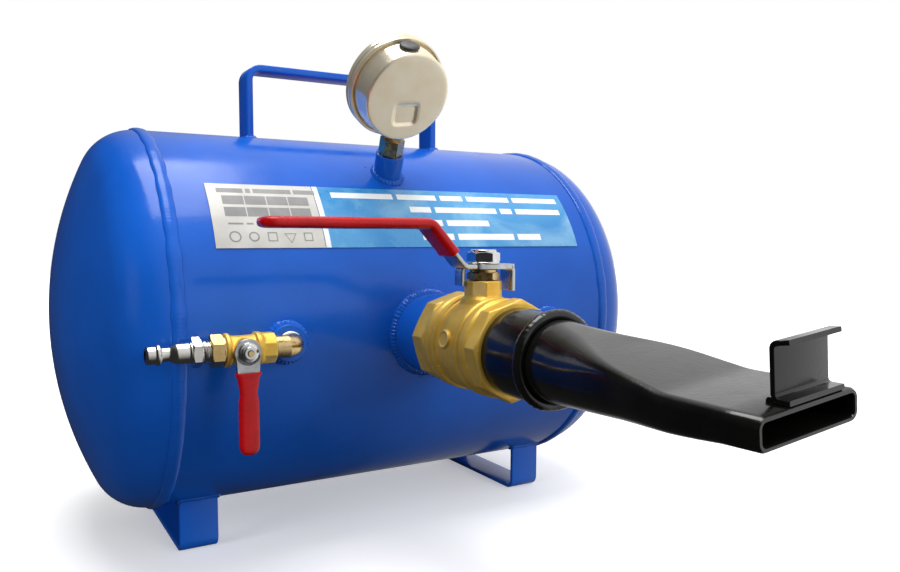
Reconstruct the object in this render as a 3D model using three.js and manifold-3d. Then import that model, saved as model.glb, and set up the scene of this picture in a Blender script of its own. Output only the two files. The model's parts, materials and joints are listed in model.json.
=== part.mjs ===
// Bead seater blaster tank: a welded air tank on two strap feet, with a lever ball valve that dumps the air
// through a flattened barrel, a small inlet ball valve with a quick-coupler plug, and a pressure gauge.
// Millimetres. X runs along the tank, the barrel points to -Y, Z is up and the feet stand on z = 0.
import * as THREE from 'three';
import { mergeVertices } from 'three/addons/utils/BufferGeometryUtils.js';
import Module from 'manifold-3d';

const manifoldLibrary = await Module();
manifoldLibrary.setup();

// ---------------------------------------------------------------- driving dimensions
const GAP = 0.3;                  // clearance between neighbouring solids

const TANK_R = 127;               // outer radius of the shell
const TANK_WALL = 2.5;
const AXIS_Z = 150;               // height of the tank's axis above the floor
const TANK_X = -4.5;              // the tank's middle; the outlet is at x = 0
const SEAM_X = 153;               // distance of each girth seam from the tank's middle
const FLANGE = 1.1;               // straight part of each head, next to the seam
const CROWN_R = 255;              // dished heads: crown radius and knuckle radius
const KNUCKLE_R = 33;
const GIRTH_WELD = { width: 9, proud: 1.8 };
const TANK_SIDES = 40;            // facets of the tank, and of the outlet and gauge
const SIDES = 24;

const FOOT = { x: 132.5, width: 25, thick: 3, reach: 55, bend: 8 };
const HANDLE = { reach: 79, width: 20, thick: 5, y: 10.7, top: 330.7, bend: 9 };

const VALVE_Z = 145;              // height of the outlet's axis
const STEM_REACH = 189.5;         // main valve stem, measured from the tank's axis along -Y
const VALVE_HALF = 34.5;          // half of the main valve's length
const OCTAGON_R = 28.8;           // corner radius of its octagonal ends
const PIPE_R = 24.15;             // 1 1/2 inch pipe
const BALL_R = 22.6;
const BALL_BORE = 15.8;
const LIP = { start: 252, end: 259, r: 26.3 };
const TUBE_R = 21.2;              // 42.4 mm barrel tube
const TUBE_WALL = 2.4;
const MOUTH = { reach: 397.4, width: 56, height: 13.2 };
const BARREL_TILT = [0.45, 6.5];  // the barrel's droop and its roll about its own axis, degrees

// The inlet line, measured from the outlet, the tank's axis and the floor.
const INLET = { x: 96.6, y: 143, z: 145 };
const INLET_STEM = 31.7;          // inlet valve stem, measured from the inlet boss along -X
const BOSS = { r: 11, bore: 6.6, out: 133 };

const GAUGE_PHI = 38.96;          // where the gauge boss stands, degrees from the top towards the front
const GAUGE_X = -6.6;
const GAUGE_LEAN = [33.8, -7, 3.5];   // its lean about X and Y and its turn about its stem, degrees
const GAUGE_RISE = 61.6;          // from the shell to the middle of the case
const GAUGE_BOSS_R = 9.5;
const LABEL_PHI = [46.3, 66.9];   // both labels span these angles from the top towards the front

const BACK_REACH = TANK_R + GIRTH_WELD.proud;
const FRONT_REACH = MOUTH.reach + 1.2;

// ---------------------------------------------------------------- materials
const finish = (color, roughness, metalness) =>
  new THREE.MeshStandardMaterial({ color, roughness, metalness });
const BLUE = finish(0x0a46c8, 0.25, 0);
const BRASS = finish(0xb9924a, 0.45, 1);
const BLACK = finish(0x0b0b0c, 0.2, 0);
const RED = finish(0xc01622, 0.35, 0);
const ZINC = finish(0x9aa0a6, 0.4, 1);
const CHROME = finish(0xd8d8d8, 0.12, 1);
const NICKEL = finish(0xc9c4ba, 0.2, 1);
const STEEL = finish(0xb9b4aa, 0.25, 1);
const PTFE = finish(0xe9e9e4, 0.6, 0);
const RUBBER = finish(0x2a2b2c, 0.7, 0);
const WHITE = finish(0xeeeeee, 0.5, 0);
const SKY = finish(0x2f9fe0, 0.4, 0);
const GLASS = finish(0xf4f8f8, 0.05, 0);

// ---------------------------------------------------------------- solids, joins and cuts
const degrees = THREE.MathUtils.degToRad;

function signedVolume(position, index) {
  const [a, b, c] = [new THREE.Vector3(), new THREE.Vector3(), new THREE.Vector3()];
  let volume = 0;
  for (let i = 0; i < index.length; i += 3) {
    a.fromBufferAttribute(position, index[i]);
    b.fromBufferAttribute(position, index[i + 1]);
    c.fromBufferAttribute(position, index[i + 2]);
    volume += a.dot(b.cross(c)) / 6;
  }
  return volume;
}

// Welds a geometry's vertices, drops collapsed triangles and turns its faces outwards.
function closed(source) {
  source.deleteAttribute('normal');
  source.deleteAttribute('uv');
  const geometry = mergeVertices(source, 1e-4);
  const index = geometry.index.array;
  const outwards = signedVolume(geometry.attributes.position, index) > 0;
  const kept = [];
  for (let i = 0; i < index.length; i += 3) {
    const [a, b, c] = [index[i], index[i + 1], index[i + 2]];
    if (a !== b && b !== c && c !== a) kept.push(a, ...(outwards ? [b, c] : [c, b]));
  }
  geometry.setIndex(kept);
  return geometry;
}

function toManifold(geometry) {
  const { Manifold, Mesh } = manifoldLibrary;
  const vertProperties = new Float32Array(geometry.attributes.position.array);
  const triVerts = new Uint32Array(geometry.index.array);
  return new Manifold(new Mesh({ numProp: 3, vertProperties, triVerts }));
}

function fromManifold(body) {
  const mesh = body.getMesh();
  const geometry = new THREE.BufferGeometry();
  geometry.setAttribute('position', new THREE.BufferAttribute(mesh.vertProperties, 3));
  geometry.setIndex(new THREE.BufferAttribute(mesh.triVerts, 1));
  return geometry;
}

const join = (...pieces) => fromManifold(pieces.map(toManifold).reduce((body, next) => body.add(next)));
const cut = (...pieces) => fromManifold(pieces.map(toManifold).reduce((body, next) => body.subtract(next)));
const common = (...pieces) =>
  fromManifold(pieces.map(toManifold).reduce((body, next) => body.intersect(next)));

// ---------------------------------------------------------------- shapes
// A profile of [radius, z] points turned about Z. It starts and ends on the axis, or closes on itself.
function turned(profile, sides, phase = 0) {
  const points = profile.map(([r, z]) => new THREE.Vector2(r, z));
  return closed(new THREE.LatheGeometry(points, sides, phase).rotateX(Math.PI / 2));
}

const rod = (r, z0, z1, sides, phase = 0) => turned([[0, z0], [r, z0], [r, z1], [0, z1]], sides, phase);

const ring = (outer, inner, z0, z1, sides, phase = 0) =>
  turned([[inner, z0], [outer, z0], [outer, z1], [inner, z1], [inner, z0]], sides, phase);

const block = (x, y, z) => closed(new THREE.BoxGeometry(x, y, z));

// An outline in X and Y given a thickness from z0 to z1.
function plate(points, z0, z1) {
  const shape = new THREE.Shape(points.map(([x, y]) => new THREE.Vector2(x, y)));
  const solid = new THREE.ExtrudeGeometry(shape, { depth: z1 - z0, bevelEnabled: false });
  return closed(solid.translate(0, 0, z0));
}

// An arc of points about (x, y), both ends included.
function arc(x, y, r, from, to, steps) {
  return Array.from({ length: steps + 1 }, (_, i) => {
    const angle = degrees(from + (to - from) * i / steps);
    return [x + r * Math.cos(angle), y + r * Math.sin(angle)];
  });
}

// The corners of a bent strip's centreline, each inner corner rounded to the bend radius.
function bentPath(corners, radius, steps = 3) {
  const path = [corners[0]];
  for (let i = 1; i < corners.length - 1; i++) {
    const near = [corners[i - 1], corners[i], corners[i + 1]];
    const [before, corner, after] = near.map((p) => new THREE.Vector2(...p));
    const back = before.sub(corner).normalize();
    const ahead = after.sub(corner).normalize();
    const half = Math.acos(back.dot(ahead)) / 2;
    const turn = -Math.sign(back.cross(ahead)) * (Math.PI - 2 * half);
    const middle = back.clone().add(ahead).normalize().multiplyScalar(radius / Math.sin(half)).add(corner);
    const start = back.multiplyScalar(radius / Math.tan(half)).add(corner).sub(middle);
    for (let k = 0; k <= steps; k++) {
      const point = start.clone().rotateAround(new THREE.Vector2(), turn * k / steps).add(middle);
      path.push([point.x, point.y]);
    }
  }
  return [...path, corners[corners.length - 1]];
}

// The outline of a strip of even thickness along a path, with mitred corners.
function strip(path, thick) {
  const points = path.map((p) => new THREE.Vector2(...p));
  const side = (sign) => points.map((point, i) => {
    const before = points[Math.max(i - 1, 0)];
    const after = points[Math.min(i + 1, points.length - 1)];
    const arriving = (i > 0 ? point.clone().sub(before) : after.clone().sub(point)).normalize();
    const leaving = (i < points.length - 1 ? after.clone().sub(point) : point.clone().sub(before)).normalize();
    const along = arriving.clone().add(leaving).normalize();
    const reach = sign * thick / 2 / along.dot(arriving);
    return [point.x - along.y * reach, point.y + along.x * reach];
  });
  return [...side(1), ...side(-1).reverse()];
}

// Skins rings of equal point counts one after another; the last ring joins the first.
function skinned(rings) {
  const count = rings[0].length;
  const index = [];
  rings.forEach((_, j) => {
    const [here, next] = [j * count, ((j + 1) % rings.length) * count];
    for (let i = 0; i < count; i++) {
      const k = (i + 1) % count;
      index.push(here + i, here + k, next + k, here + i, next + k, next + i);
    }
  });
  const geometry = new THREE.BufferGeometry();
  geometry.setAttribute('position', new THREE.Float32BufferAttribute(rings.flat(2), 3));
  geometry.setIndex(index);
  return closed(geometry);
}

// ---------------------------------------------------------------- scene graph
const part = new THREE.Group();
part.position.set(-TANK_X, (FRONT_REACH - BACK_REACH) / 2, 0);

function group(position, rotation = [0, 0, 0], parent = part) {
  const made = new THREE.Group();
  made.position.set(...position);
  made.rotation.set(...rotation);
  parent.add(made);
  return made;
}

function add(parent, name, geometry, material) {
  const mesh = new THREE.Mesh(geometry, material);
  mesh.name = name;
  parent.add(mesh);
}

const QUARTER = Math.PI / 2;

// ---------------------------------------------------------------- tank: shell, heads, girth welds
// In this group z runs along the tank (world +X), x is world -Z and y is world +Y.
const tank = group([TANK_X, 0, AXIS_Z], [0, QUARTER, 0]);

// Profile of a dished head at one offset inside the outer surface, from the rim to the axis.
function headCurve(offset) {
  const centreDrop = Math.sqrt((CROWN_R - KNUCKLE_R) ** 2 - (TANK_R - KNUCKLE_R) ** 2);
  const tangent = THREE.MathUtils.radToDeg(Math.atan2(TANK_R - KNUCKLE_R, centreDrop));
  const flat = SEAM_X + FLANGE;
  const knuckle = arc(TANK_R - KNUCKLE_R, flat, KNUCKLE_R - offset, 0, 90 - tangent, 3);
  const crown = arc(0, flat - centreDrop, CROWN_R - offset, 90 - tangent, 90, 3).slice(1);
  crown[crown.length - 1][0] = 0;
  return [...knuckle, ...crown];
}

function head() {
  const start = SEAM_X + GAP / 2;
  const outer = [[TANK_R, start], ...headCurve(0)];
  const inner = [[TANK_R - TANK_WALL, start], ...headCurve(TANK_WALL)];
  return turned([...outer.reverse(), ...inner], TANK_SIDES);
}

function girthWeld() {
  const [foot, top] = [TANK_R + GAP, TANK_R + GIRTH_WELD.proud];
  const half = GIRTH_WELD.width / 2;
  const bead = [[foot, -half], [top, 1 - half], [top, half - 1], [foot, half], [foot, -half]];
  return turned(bead, TANK_SIDES).translate(0, 0, SEAM_X);
}

// A cutter through the shell along world -Y, for a port at (world X, height above the axis).
const portHole = (r, sides, x, height) =>
  rod(r, 60, 160, sides).rotateX(QUARTER).translate(-height, 0, x - TANK_X);

function gaugeHole() {
  const phi = degrees(GAUGE_PHI);
  const turn = new THREE.Matrix4().makeRotationFromEuler(new THREE.Euler(...GAUGE_LEAN.map(degrees)));
  const [y, z] = [-TANK_R * Math.sin(phi), TANK_R * Math.cos(phi)];
  const place = new THREE.Matrix4().makeTranslation(GAUGE_X - TANK_X, y, z);
  const toTank = new THREE.Matrix4().makeRotationY(-QUARTER);
  return rod(GAUGE_BOSS_R + GAP, -30, 30, 16).applyMatrix4(toTank.multiply(place).multiply(turn));
}

const shellEnd = SEAM_X - GAP / 2;
add(tank, 'tank_shell', cut(
  ring(TANK_R, TANK_R - TANK_WALL, -shellEnd, shellEnd, TANK_SIDES),
  portHole(25.4 + GAP, SIDES, 0, VALVE_Z - AXIS_Z),
  portHole(BOSS.r + GAP, 16, -INLET.x, INLET.z - AXIS_Z),
  portHole(BOSS.r + GAP, 16, INLET.x, INLET.z - AXIS_Z),
  gaugeHole(),
), BLUE);
add(tank, 'head_right', head(), BLUE);
add(tank, 'head_left', head().rotateX(Math.PI), BLUE);
add(tank, 'girth_weld_right', girthWeld(), BLUE);
add(tank, 'girth_weld_left', girthWeld().rotateX(Math.PI), BLUE);

// Both labels are thin curved sheets on the shell; x is world X here and y the arc from the top to the front.
function label(x0, x1) {
  const steps = 5;
  const at = (r, i) => {
    const phi = degrees(LABEL_PHI[0] + (LABEL_PHI[1] - LABEL_PHI[0]) * i / steps);
    return [-r * Math.cos(phi), -r * Math.sin(phi)];
  };
  const marks = Array.from({ length: steps + 1 }, (_, i) => i);
  const [low, high] = [TANK_R + GAP, TANK_R + GAP + 0.4];
  const outline = [...marks.map((i) => at(low, i)), ...marks.reverse().map((i) => at(high, i))];
  return plate(outline, x0 - TANK_X, x1 - TANK_X);
}

add(tank, 'data_plate', label(-134, -67.2), WHITE);
add(tank, 'info_label', label(-66.8, 131.2), SKY);

// ---------------------------------------------------------------- feet and carry handle
// What the straps and the handle stand clear of: the tank, and the two girth welds that stand proud of it.
function clearTank(geometry) {
  const shell = rod(TANK_R + GAP, -SEAM_X, SEAM_X, TANK_SIDES);
  const weld = rod(TANK_R + GIRTH_WELD.proud + GAP, -GIRTH_WELD.width / 2 - GAP, 20, TANK_SIDES)
    .translate(0, 0, SEAM_X);
  const place = (piece) => piece.rotateY(QUARTER).translate(TANK_X, 0, AXIS_Z);
  return cut(geometry, place(shell), place(weld));
}

function foot(x) {
  const { reach, thick, width, bend } = FOOT;
  const mid = reach - thick / 2;
  const top = AXIS_Z - Math.sqrt((TANK_R + GAP) ** 2 - reach ** 2) + 2;
  const path = bentPath([[-mid, top], [-mid, thick / 2], [mid, thick / 2], [mid, top]], bend - thick / 2);
  const strap = plate(strip(path, thick), -width / 2, width / 2).rotateX(QUARTER).rotateZ(QUARTER);
  return clearTank(strap.translate(x, 0, 0));
}

add(part, 'foot_left', foot(-FOOT.x), BLUE);
add(part, 'foot_right', foot(FOOT.x), BLUE);

function carryHandle() {
  const { reach, thick, width, y, top, bend } = HANDLE;
  const [mid, high, low] = [reach - thick / 2, top - thick / 2, AXIS_Z + TANK_R - 6];
  const path = bentPath([[-mid, low], [-mid, high], [mid, high], [mid, low]], bend);
  return clearTank(plate(strip(path, thick), -width / 2, width / 2).rotateX(QUARTER).translate(0, y, 0));
}

add(part, 'carry_handle', carryHandle(), BLUE);

// ---------------------------------------------------------------- main outlet: stub, valve body, barrel
// In this group z is the reach forward from the tank's axis (world -Y) and y is up.
const outlet = group([0, 0, VALVE_Z], [QUARTER, 0, 0]);
const VALVE_BACK = STEM_REACH - VALVE_HALF;
const VALVE_FRONT = STEM_REACH + VALVE_HALF;
const SPLIT = 205;                // where the end piece screws into the body
const CHAMBER_R = 23.9;
const SEAT_DEPTH = 17;            // the seats' outer faces, from the stem
const OCTAGON_TURN = degrees(-6);
const OCTAGON_LENGTH = 13;
const octagon = (z0, z1) => rod(OCTAGON_R, z0, z1, 8, OCTAGON_TURN);

add(outlet, 'outlet_stub', turned([
  [20.5, 120], [25.4, 120], [25.4, VALVE_BACK - GAP], [24, VALVE_BACK - GAP], [24, 168], [20.5, 168],
  [20.5, 120],
], SIDES), BLUE);

function valveBody() {
  const octagonEnd = VALVE_BACK + OCTAGON_LENGTH;
  const barrel = [
    [0, octagonEnd - 5], [26.6, octagonEnd - 1], [28, octagonEnd + 2], [27.4, 175], [28.3, 176.4],
    [28.3, 178.4],
    [26.9, 179], [27.4, STEM_REACH], [26.9, 200], [28.3, 200.8], [28.3, 203], [27, SPLIT], [0, SPLIT],
  ];
  const neck = rod(10.9, 15, 37, 8, Math.PI / 8).rotateX(-QUARTER).translate(0, 0, STEM_REACH);
  const solid = join(octagon(VALVE_BACK, octagonEnd), turned(barrel, SIDES), neck);
  return cut(
    solid,
    rod(24 + GAP, VALVE_BACK - 1, 168 + GAP, SIDES),
    rod(16.2, 160, 180, 16),
    rod(CHAMBER_R, STEM_REACH - SEAT_DEPTH, SPLIT + 1, SIDES),
    rod(25.5, SPLIT - 5.3, SPLIT + 1, SIDES),
    ...[[6.6, 10, 27], [4.5, 20, 32], [6.6, 29, 38]].map(
      ([r, low, high]) => rod(r, low, high, 12).rotateX(-QUARTER).translate(0, 0, STEM_REACH),
    ),
  );
}

function valveEnd() {
  const octagonStart = VALVE_FRONT - OCTAGON_LENGTH + 2;
  const spigot = ring(25.1, 24.1, SPLIT - 5, SPLIT + 2, SIDES);
  const flare = turned([[0, SPLIT + GAP], [27.2, SPLIT + GAP], [28, octagonStart - 2], [26.6, octagonStart + 1],
    [0, octagonStart + 4]], SIDES);
  return cut(
    join(octagon(octagonStart, VALVE_FRONT), flare, spigot),
    rod(CHAMBER_R, SPLIT - 1, STEM_REACH + SEAT_DEPTH, SIDES),
    rod(16.2, SPLIT, VALVE_FRONT, 16),
    rod(PIPE_R + GAP, 209, VALVE_FRONT + 1, SIDES),
  );
}

// A PTFE seat: a ring with a cone that stays just clear of the ball.
function seat() {
  const depth = SEAT_DEPTH - GAP;
  return turned([
    [16.6, depth], [18.7, 14.2], [20.7, 11], [22.2, 7.5], [23.5, 7.5], [23.5, depth], [16.6, depth],
  ], 24);
}

add(outlet, 'valve_body', valveBody(), BRASS);
add(outlet, 'valve_end', valveEnd(), BRASS);
add(outlet, 'valve_seat_front', seat().translate(0, 0, STEM_REACH), PTFE);
add(outlet, 'valve_seat_rear', seat().rotateX(Math.PI).translate(0, 0, STEM_REACH), PTFE);

// The barrel hangs and rolls a little about the point where its collar enters the valve.
const BARREL_ROOT = 216;
const barrel = group([0, 0, BARREL_ROOT], BARREL_TILT.map(degrees).toSpliced(1, 0, 0), outlet);
const onBarrel = (geometry) => geometry.translate(0, 0, -BARREL_ROOT);
const COLLAR_END = 254;

add(barrel, 'barrel_collar', onBarrel(ring(PIPE_R, TUBE_R + GAP + 0.1, 209.5, COLLAR_END, SIDES)), BLACK);
add(barrel, 'collar_weld', onBarrel(turned([
  [PIPE_R + GAP, LIP.start], [LIP.r, LIP.start + 1], [LIP.r, LIP.end - 2.5], [TUBE_R + 1.5, LIP.end],
  [TUBE_R + GAP, LIP.end - 0.5], [TUBE_R + GAP, COLLAR_END + GAP], [PIPE_R + GAP, COLLAR_END + GAP],
  [PIPE_R + GAP, LIP.start],
], SIDES)), BLACK);

// The barrel's section is a round tube that is pressed into a flat-sided oval; inset gives its inner wall.
function barrelSection(z, inset) {
  const { lerp, clamp } = THREE.MathUtils;
  const pressed = clamp((z - 262) / 100, 0, 1);
  const halfWidth = lerp(TUBE_R, MOUTH.width / 2, pressed) - inset;
  const halfHeight = lerp(TUBE_R, MOUTH.height / 2, pressed) - inset;
  const squareness = 2 / lerp(2, 6, clamp((z - 270) / 60, 0, 1));
  const around = 24;
  return Array.from({ length: around }, (_, i) => {
    const angle = 2 * Math.PI * (i + 0.5) / around;
    const [c, s] = [Math.cos(angle), Math.sin(angle)];
    const x = halfWidth * Math.sign(c) * Math.abs(c) ** squareness;
    const y = halfHeight * Math.sign(s) * Math.abs(s) ** squareness;
    return [x, y, z];
  });
}

function barrelTube() {
  const stations = [226, 262, 280, 295, 310, 330, 362, MOUTH.reach];
  const outer = stations.map((z) => barrelSection(z, 0));
  const inner = stations.map((z) => barrelSection(z, TUBE_WALL)).reverse();
  return skinned([...outer, ...inner]);
}

add(barrel, 'barrel_tube', onBarrel(barrelTube()), BLACK);

// The rim hook is a channel, open to the front, that stands on the barrel just behind its mouth.
function rimHook() {
  const [thick, width] = [2, 31];
  const base = MOUTH.height / 2 + GAP + thick / 2;
  const top = base + 20.6;
  const web = MOUTH.reach - 7.5;
  const corners = [[MOUTH.reach - 0.5, base], [web, base], [web, top], [FRONT_REACH, top + 1]];
  const path = bentPath(corners, 2.4, 3);
  return plate(strip(path, thick), -width / 2, width / 2).rotateY(-QUARTER).translate(5, 0, 0);
}

add(barrel, 'rim_hook', onBarrel(rimHook()), BLACK);

// ---------------------------------------------------------------- main valve stem, ball and lever
// World-aligned, with the origin where the stem's axis crosses the flow axis; z is the height above it.
const stem = group([0, -STEM_REACH, VALVE_Z]);
const LEVER = {
  low: 43.8, thick: 2.6, width: 14.6, tip: -130.8, knee: 15.8, shoulder: 37.8, rise: 24, bare: 8, wrap: 1.45,
};

function ball() {
  const profile = arc(0, 0, BALL_R, -90, 90, 12);
  profile[0][0] = 0;
  profile[profile.length - 1][0] = 0;
  const bore = rod(BALL_BORE, -30, 30, 16).rotateY(QUARTER);
  return cut(turned(profile, 20), bore, block(14, 6.6, 10).translate(0, 0, BALL_R + 0.9));
}

function valveStem() {
  const shaft = turned([
    [0, 22.2], [6.2, 22.2], [6.2, 26.6], [4.2, 26.6], [4.2, 43.4], [4, 43.4], [4, 54.4], [0, 54.4],
  ], 12);
  return join(shaft, block(12, 5.8, 3.6).translate(0, 0, 20.7));
}

// The lever's centreline seen from the side: plate, steep rise, then the long grip towards -X.
function leverPath(from, to) {
  const { knee, shoulder, rise } = LEVER;
  const level = LEVER.low + LEVER.thick / 2;
  return bentPath([[from, level], [-knee, level], [-shoulder, level + rise], [to, level + rise]], 6, 3);
}

function leverBar(path, thick, width) {
  return plate(strip(path, thick), -width / 2, width / 2).rotateX(QUARTER);
}

function lever() {
  const { low, thick, width, tip } = LEVER;
  const arm = leverBar(leverPath(12, tip), thick, width);
  const half = width / 2;
  const plan = plate([...arc(tip + half, 0, half, 90, 270, 6), [14, -half], [14, half]], 0, 100);
  const stop = (x, y, span, drop) =>
    block(thick, span, drop + thick).translate(x, y, low + (thick - drop) / 2);
  const head = plate(
    [
      [-13.9, 0], [-13.9, 10], [-6, 12], [8, 12], [14, 6], [18.5, 6], [18.5, -6], [14, -6], [8, -10],
      [-6, -8.5],
    ],
    low, low + thick,
  );
  const stops = [stop(-12.6, 5, 8, 9.6), stop(17.2, 0, 12, 13)];
  return cut(join(common(arm, plan), head, ...stops), rod(4 + GAP, low - 1, low + thick + 1, 12));
}

// The dipped sleeve starts a little way up the rise, where the cutting block ends.
function leverSleeve() {
  const { low, thick, width, tip, knee, shoulder, rise, bare, wrap } = LEVER;
  const layer = (grow) => {
    const [half, end] = [width / 2 + grow, tip - grow];
    const plan = plate([...arc(end + half, 0, half, 90, 270, 6), [0, -half], [0, half]], 0, 100);
    return common(leverBar(leverPath(0, end), thick + 2 * grow, 2 * half), plan);
  };
  const [skin, core] = [layer(GAP + wrap), layer(GAP)];
  const slope = Math.atan2(rise, shoulder - knee);
  const reach = 50 - bare;
  const free = block(100, 60, 100).rotateY(slope)
    .translate(reach * Math.cos(slope) - knee, 0, low + thick / 2 - reach * Math.sin(slope));
  return cut(skin, core, free);
}

function hexNut(acrossFlats, bore, z0, z1, flange) {
  const corner = acrossFlats / 2 / Math.cos(Math.PI / 6);
  const turnedNut = join(rod(corner, z0 + 0.5, z1, 6, Math.PI / 6), rod(flange, z0, z0 + 1.6, 20));
  const wide = corner + 2;
  const chamfer = turned([[0, z0], [wide, z0], [wide, z1 - 1.6], [corner - 1.2, z1], [0, z1]], 20);
  return cut(common(turnedNut, chamfer), rod(bore, z0 - 1, z1 + 1, 12));
}

add(stem, 'valve_ball', ball(), CHROME);
add(stem, 'valve_stem', valveStem(), BRASS);
add(stem, 'valve_packing', ring(6.2, 4.6, 32.4, 36.4, 12), PTFE);
add(stem, 'valve_packing_nut', cut(
  join(rod(9.6, 37.3, 42, 6, Math.PI / 6), rod(8, 41, 43.4, 16)), rod(4.6, 36, 44, 12),
), BRASS);
add(stem, 'valve_lever', lever(), ZINC);
add(stem, 'valve_lever_sleeve', leverSleeve(), RED);
add(stem, 'valve_lever_nut', hexNut(16.6, 4 + GAP, LEVER.low + LEVER.thick + GAP, 54.8, 9.6), CHROME);

// ---------------------------------------------------------------- bosses and the spare port
// A weld-on socket along world -Y; z is the reach from the tank's axis, as in the outlet group.
const boss = (r, bore, from, to) => ring(r, bore, from, to, 16);
const inletPort = group([-INLET.x, 0, INLET.z], [QUARTER, 0, 0]);
const sparePort = group([INLET.x, 0, INLET.z], [QUARTER, 0, 0]);
add(inletPort, 'inlet_boss', boss(BOSS.r, BOSS.bore, 120, BOSS.out), BLUE);
add(sparePort, 'spare_boss', boss(BOSS.r, BOSS.bore, 120, BOSS.out), BLUE);

const plugHead = rod(9.2, BOSS.out + GAP, 140, 6);
add(sparePort, 'spare_plug', join(plugHead, rod(BOSS.bore - GAP, 122, BOSS.out + 1, 16)), BRASS);

// ---------------------------------------------------------------- inlet line
// In this group z runs outwards along world -X, x is up and y is world +Y, from the boss's axis.
const inlet = group([-INLET.x, -INLET.y, INLET.z], [0, -QUARTER, 0]);
const AIR_R = 3;

function elbow() {
  const toBoss = (r, from, to) => rod(r, from, to, 16).rotateX(-QUARTER);
  const outer = 6.5;
  const knee = arc(0, 0, outer, -90, 90, 6);
  knee[0][0] = 0;
  knee[knee.length - 1][0] = 0;
  const socketEnd = INLET.y - BOSS.out - 1;
  const body = join(
    turned(knee, 16), toBoss(outer, 0, socketEnd), rod(outer, 0, 13, 16),
    toBoss(BOSS.bore - GAP, 0, INLET.y - 122), rod(5.3, 0, 19, 16),
  );
  return cut(body, toBoss(AIR_R, 0, 30), rod(AIR_R, -1, 30, 12));
}

function inletValveBody() {
  const shell = turned([
    [0, 21.4], [9.3, 22], [9.3, 24], [7.9, 24.4], [7.9, 38.8], [9.3, 39.2], [9.3, 41], [7.8, 41.6], [0, 41.6],
  ], 16);
  const bonnet = rod(6.6, 0, 10.8, 16).rotateX(QUARTER).translate(0, 0, INLET_STEM);
  return cut(
    join(rod(9.1, 13.3, 21.6, 8, Math.PI / 8), shell, bonnet),
    rod(5.3 + GAP, 13, 19.3, 16),
    rod(AIR_R, 18, 28, 12),
    rod(6, 25.4, 42, 16),
    rod(2.9, 3, 9, 12).rotateX(QUARTER).translate(0, 0, INLET_STEM),
    rod(1.9, 3, 12, 12).rotateX(QUARTER).translate(0, 0, INLET_STEM),
  );
}

function inletValveEnd() {
  const corner = 8 / Math.cos(Math.PI / 6);
  return cut(
    join(rod(corner, 41.9, 49, 6), rod(5.7, 38.1, 42.4, 16)),
    rod(AIR_R, 37, 45, 12),
    rod(6.4 + GAP, 43.9, 50, 16),
  );
}

function couplerPlug() {
  const body = turned([
    [0, 44.3], [6.4, 44.3], [6.4, 54.4], [5.7, 59], [5.7, 67], [3.9, 70.4], [3.9, 74.6], [5.7, 75.2],
    [5.7, 76.6],
    [4.9, 77], [4.9, 81.3], [4.4, 82.1], [0, 82.1],
  ], 16);
  const hexagon = rod(7.3 / Math.cos(Math.PI / 6), 54, 58.8, 6);
  return cut(join(body, hexagon), rod(AIR_R + 0.3, 44, 83, 12));
}

const inletSeat = (z) => ring(5.7, 3.4, z, z + 1.5, 16);
add(inlet, 'inlet_elbow', elbow(), BRASS);
add(inlet, 'inlet_valve_body', inletValveBody(), BRASS);
add(inlet, 'inlet_valve_end', inletValveEnd(), BRASS);
add(inlet, 'inlet_seat_inner', inletSeat(INLET_STEM - 6), PTFE);
add(inlet, 'inlet_seat_outer', inletSeat(INLET_STEM + 4.5), PTFE);
add(inlet, 'coupler_plug', couplerPlug(), NICKEL);

// The inlet valve's stem group: z is world -Y, y is up.
const inletStem = group([-INLET.x - INLET_STEM, -INLET.y, INLET.z], [QUARTER, 0, 0]);
const SMALL_LEVER = { back: 11.8, thick: 2, wrap: 0.7 };

function inletBall() {
  const profile = arc(0, 0, 5.1, -90, 90, 8);
  profile[0][0] = 0;
  profile[profile.length - 1][0] = 0;
  const slot = block(3.4, 1.8, 3).translate(0, 0, 5.2);
  return cut(turned(profile, 14), rod(2.8, -8, 8, 10).rotateX(QUARTER), slot);
}

function inletStemPin() {
  const shaft = turned([[0, 4.9], [2.6, 4.9], [2.6, 8.7], [1.6, 8.7], [1.6, 19.4], [0, 19.4]], 12);
  return join(shaft, block(2.8, 1.2, 1.6).translate(0, 0, 4.6));
}

// Half widths of the small lever's grip at heights below the stem; the outline mirrors them.
function smallLeverOutline(grow) {
  const half = [[-1, 6.8], [-10, 6.2], [-17, 4.6], [-22, 3.8], [-27, 4.6], [-50.6, 4.7]];
  const right = half.map(([y, x]) => [x + grow, y]);
  const left = half.map(([y, x]) => [-x - grow, y]).reverse();
  return [...right, ...arc(0, -50.6, 4.7 + grow, 0, -180, 6).slice(1, -1), ...left];
}

function smallLever() {
  const { back, thick } = SMALL_LEVER;
  const crown = rod(7.5, back, back + thick, 20);
  const bar = plate(smallLeverOutline(0), back, back + thick);
  return cut(join(crown, bar), rod(1.6 + GAP, back - 1, back + thick + 1, 12));
}

function smallLeverSleeve() {
  const { back, thick, wrap } = SMALL_LEVER;
  const layer = (grow) => plate(smallLeverOutline(grow), back - grow, back + thick + grow);
  return cut(layer(GAP + wrap), layer(GAP), block(40, 40, 20).translate(0, 20 - 10.8, back));
}

add(inletStem, 'inlet_ball', inletBall(), CHROME);
add(inletStem, 'inlet_stem', inletStemPin(), BRASS);
add(inletStem, 'inlet_washer', ring(5.2, 1.9, 11, 11.5, 16), ZINC);
add(inletStem, 'inlet_lever', smallLever(), ZINC);
add(inletStem, 'inlet_lever_sleeve', smallLeverSleeve(), RED);
add(inletStem, 'inlet_lever_nut', hexNut(8, 1.9, 14.1, 18.6, 5.6), CHROME);

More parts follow.
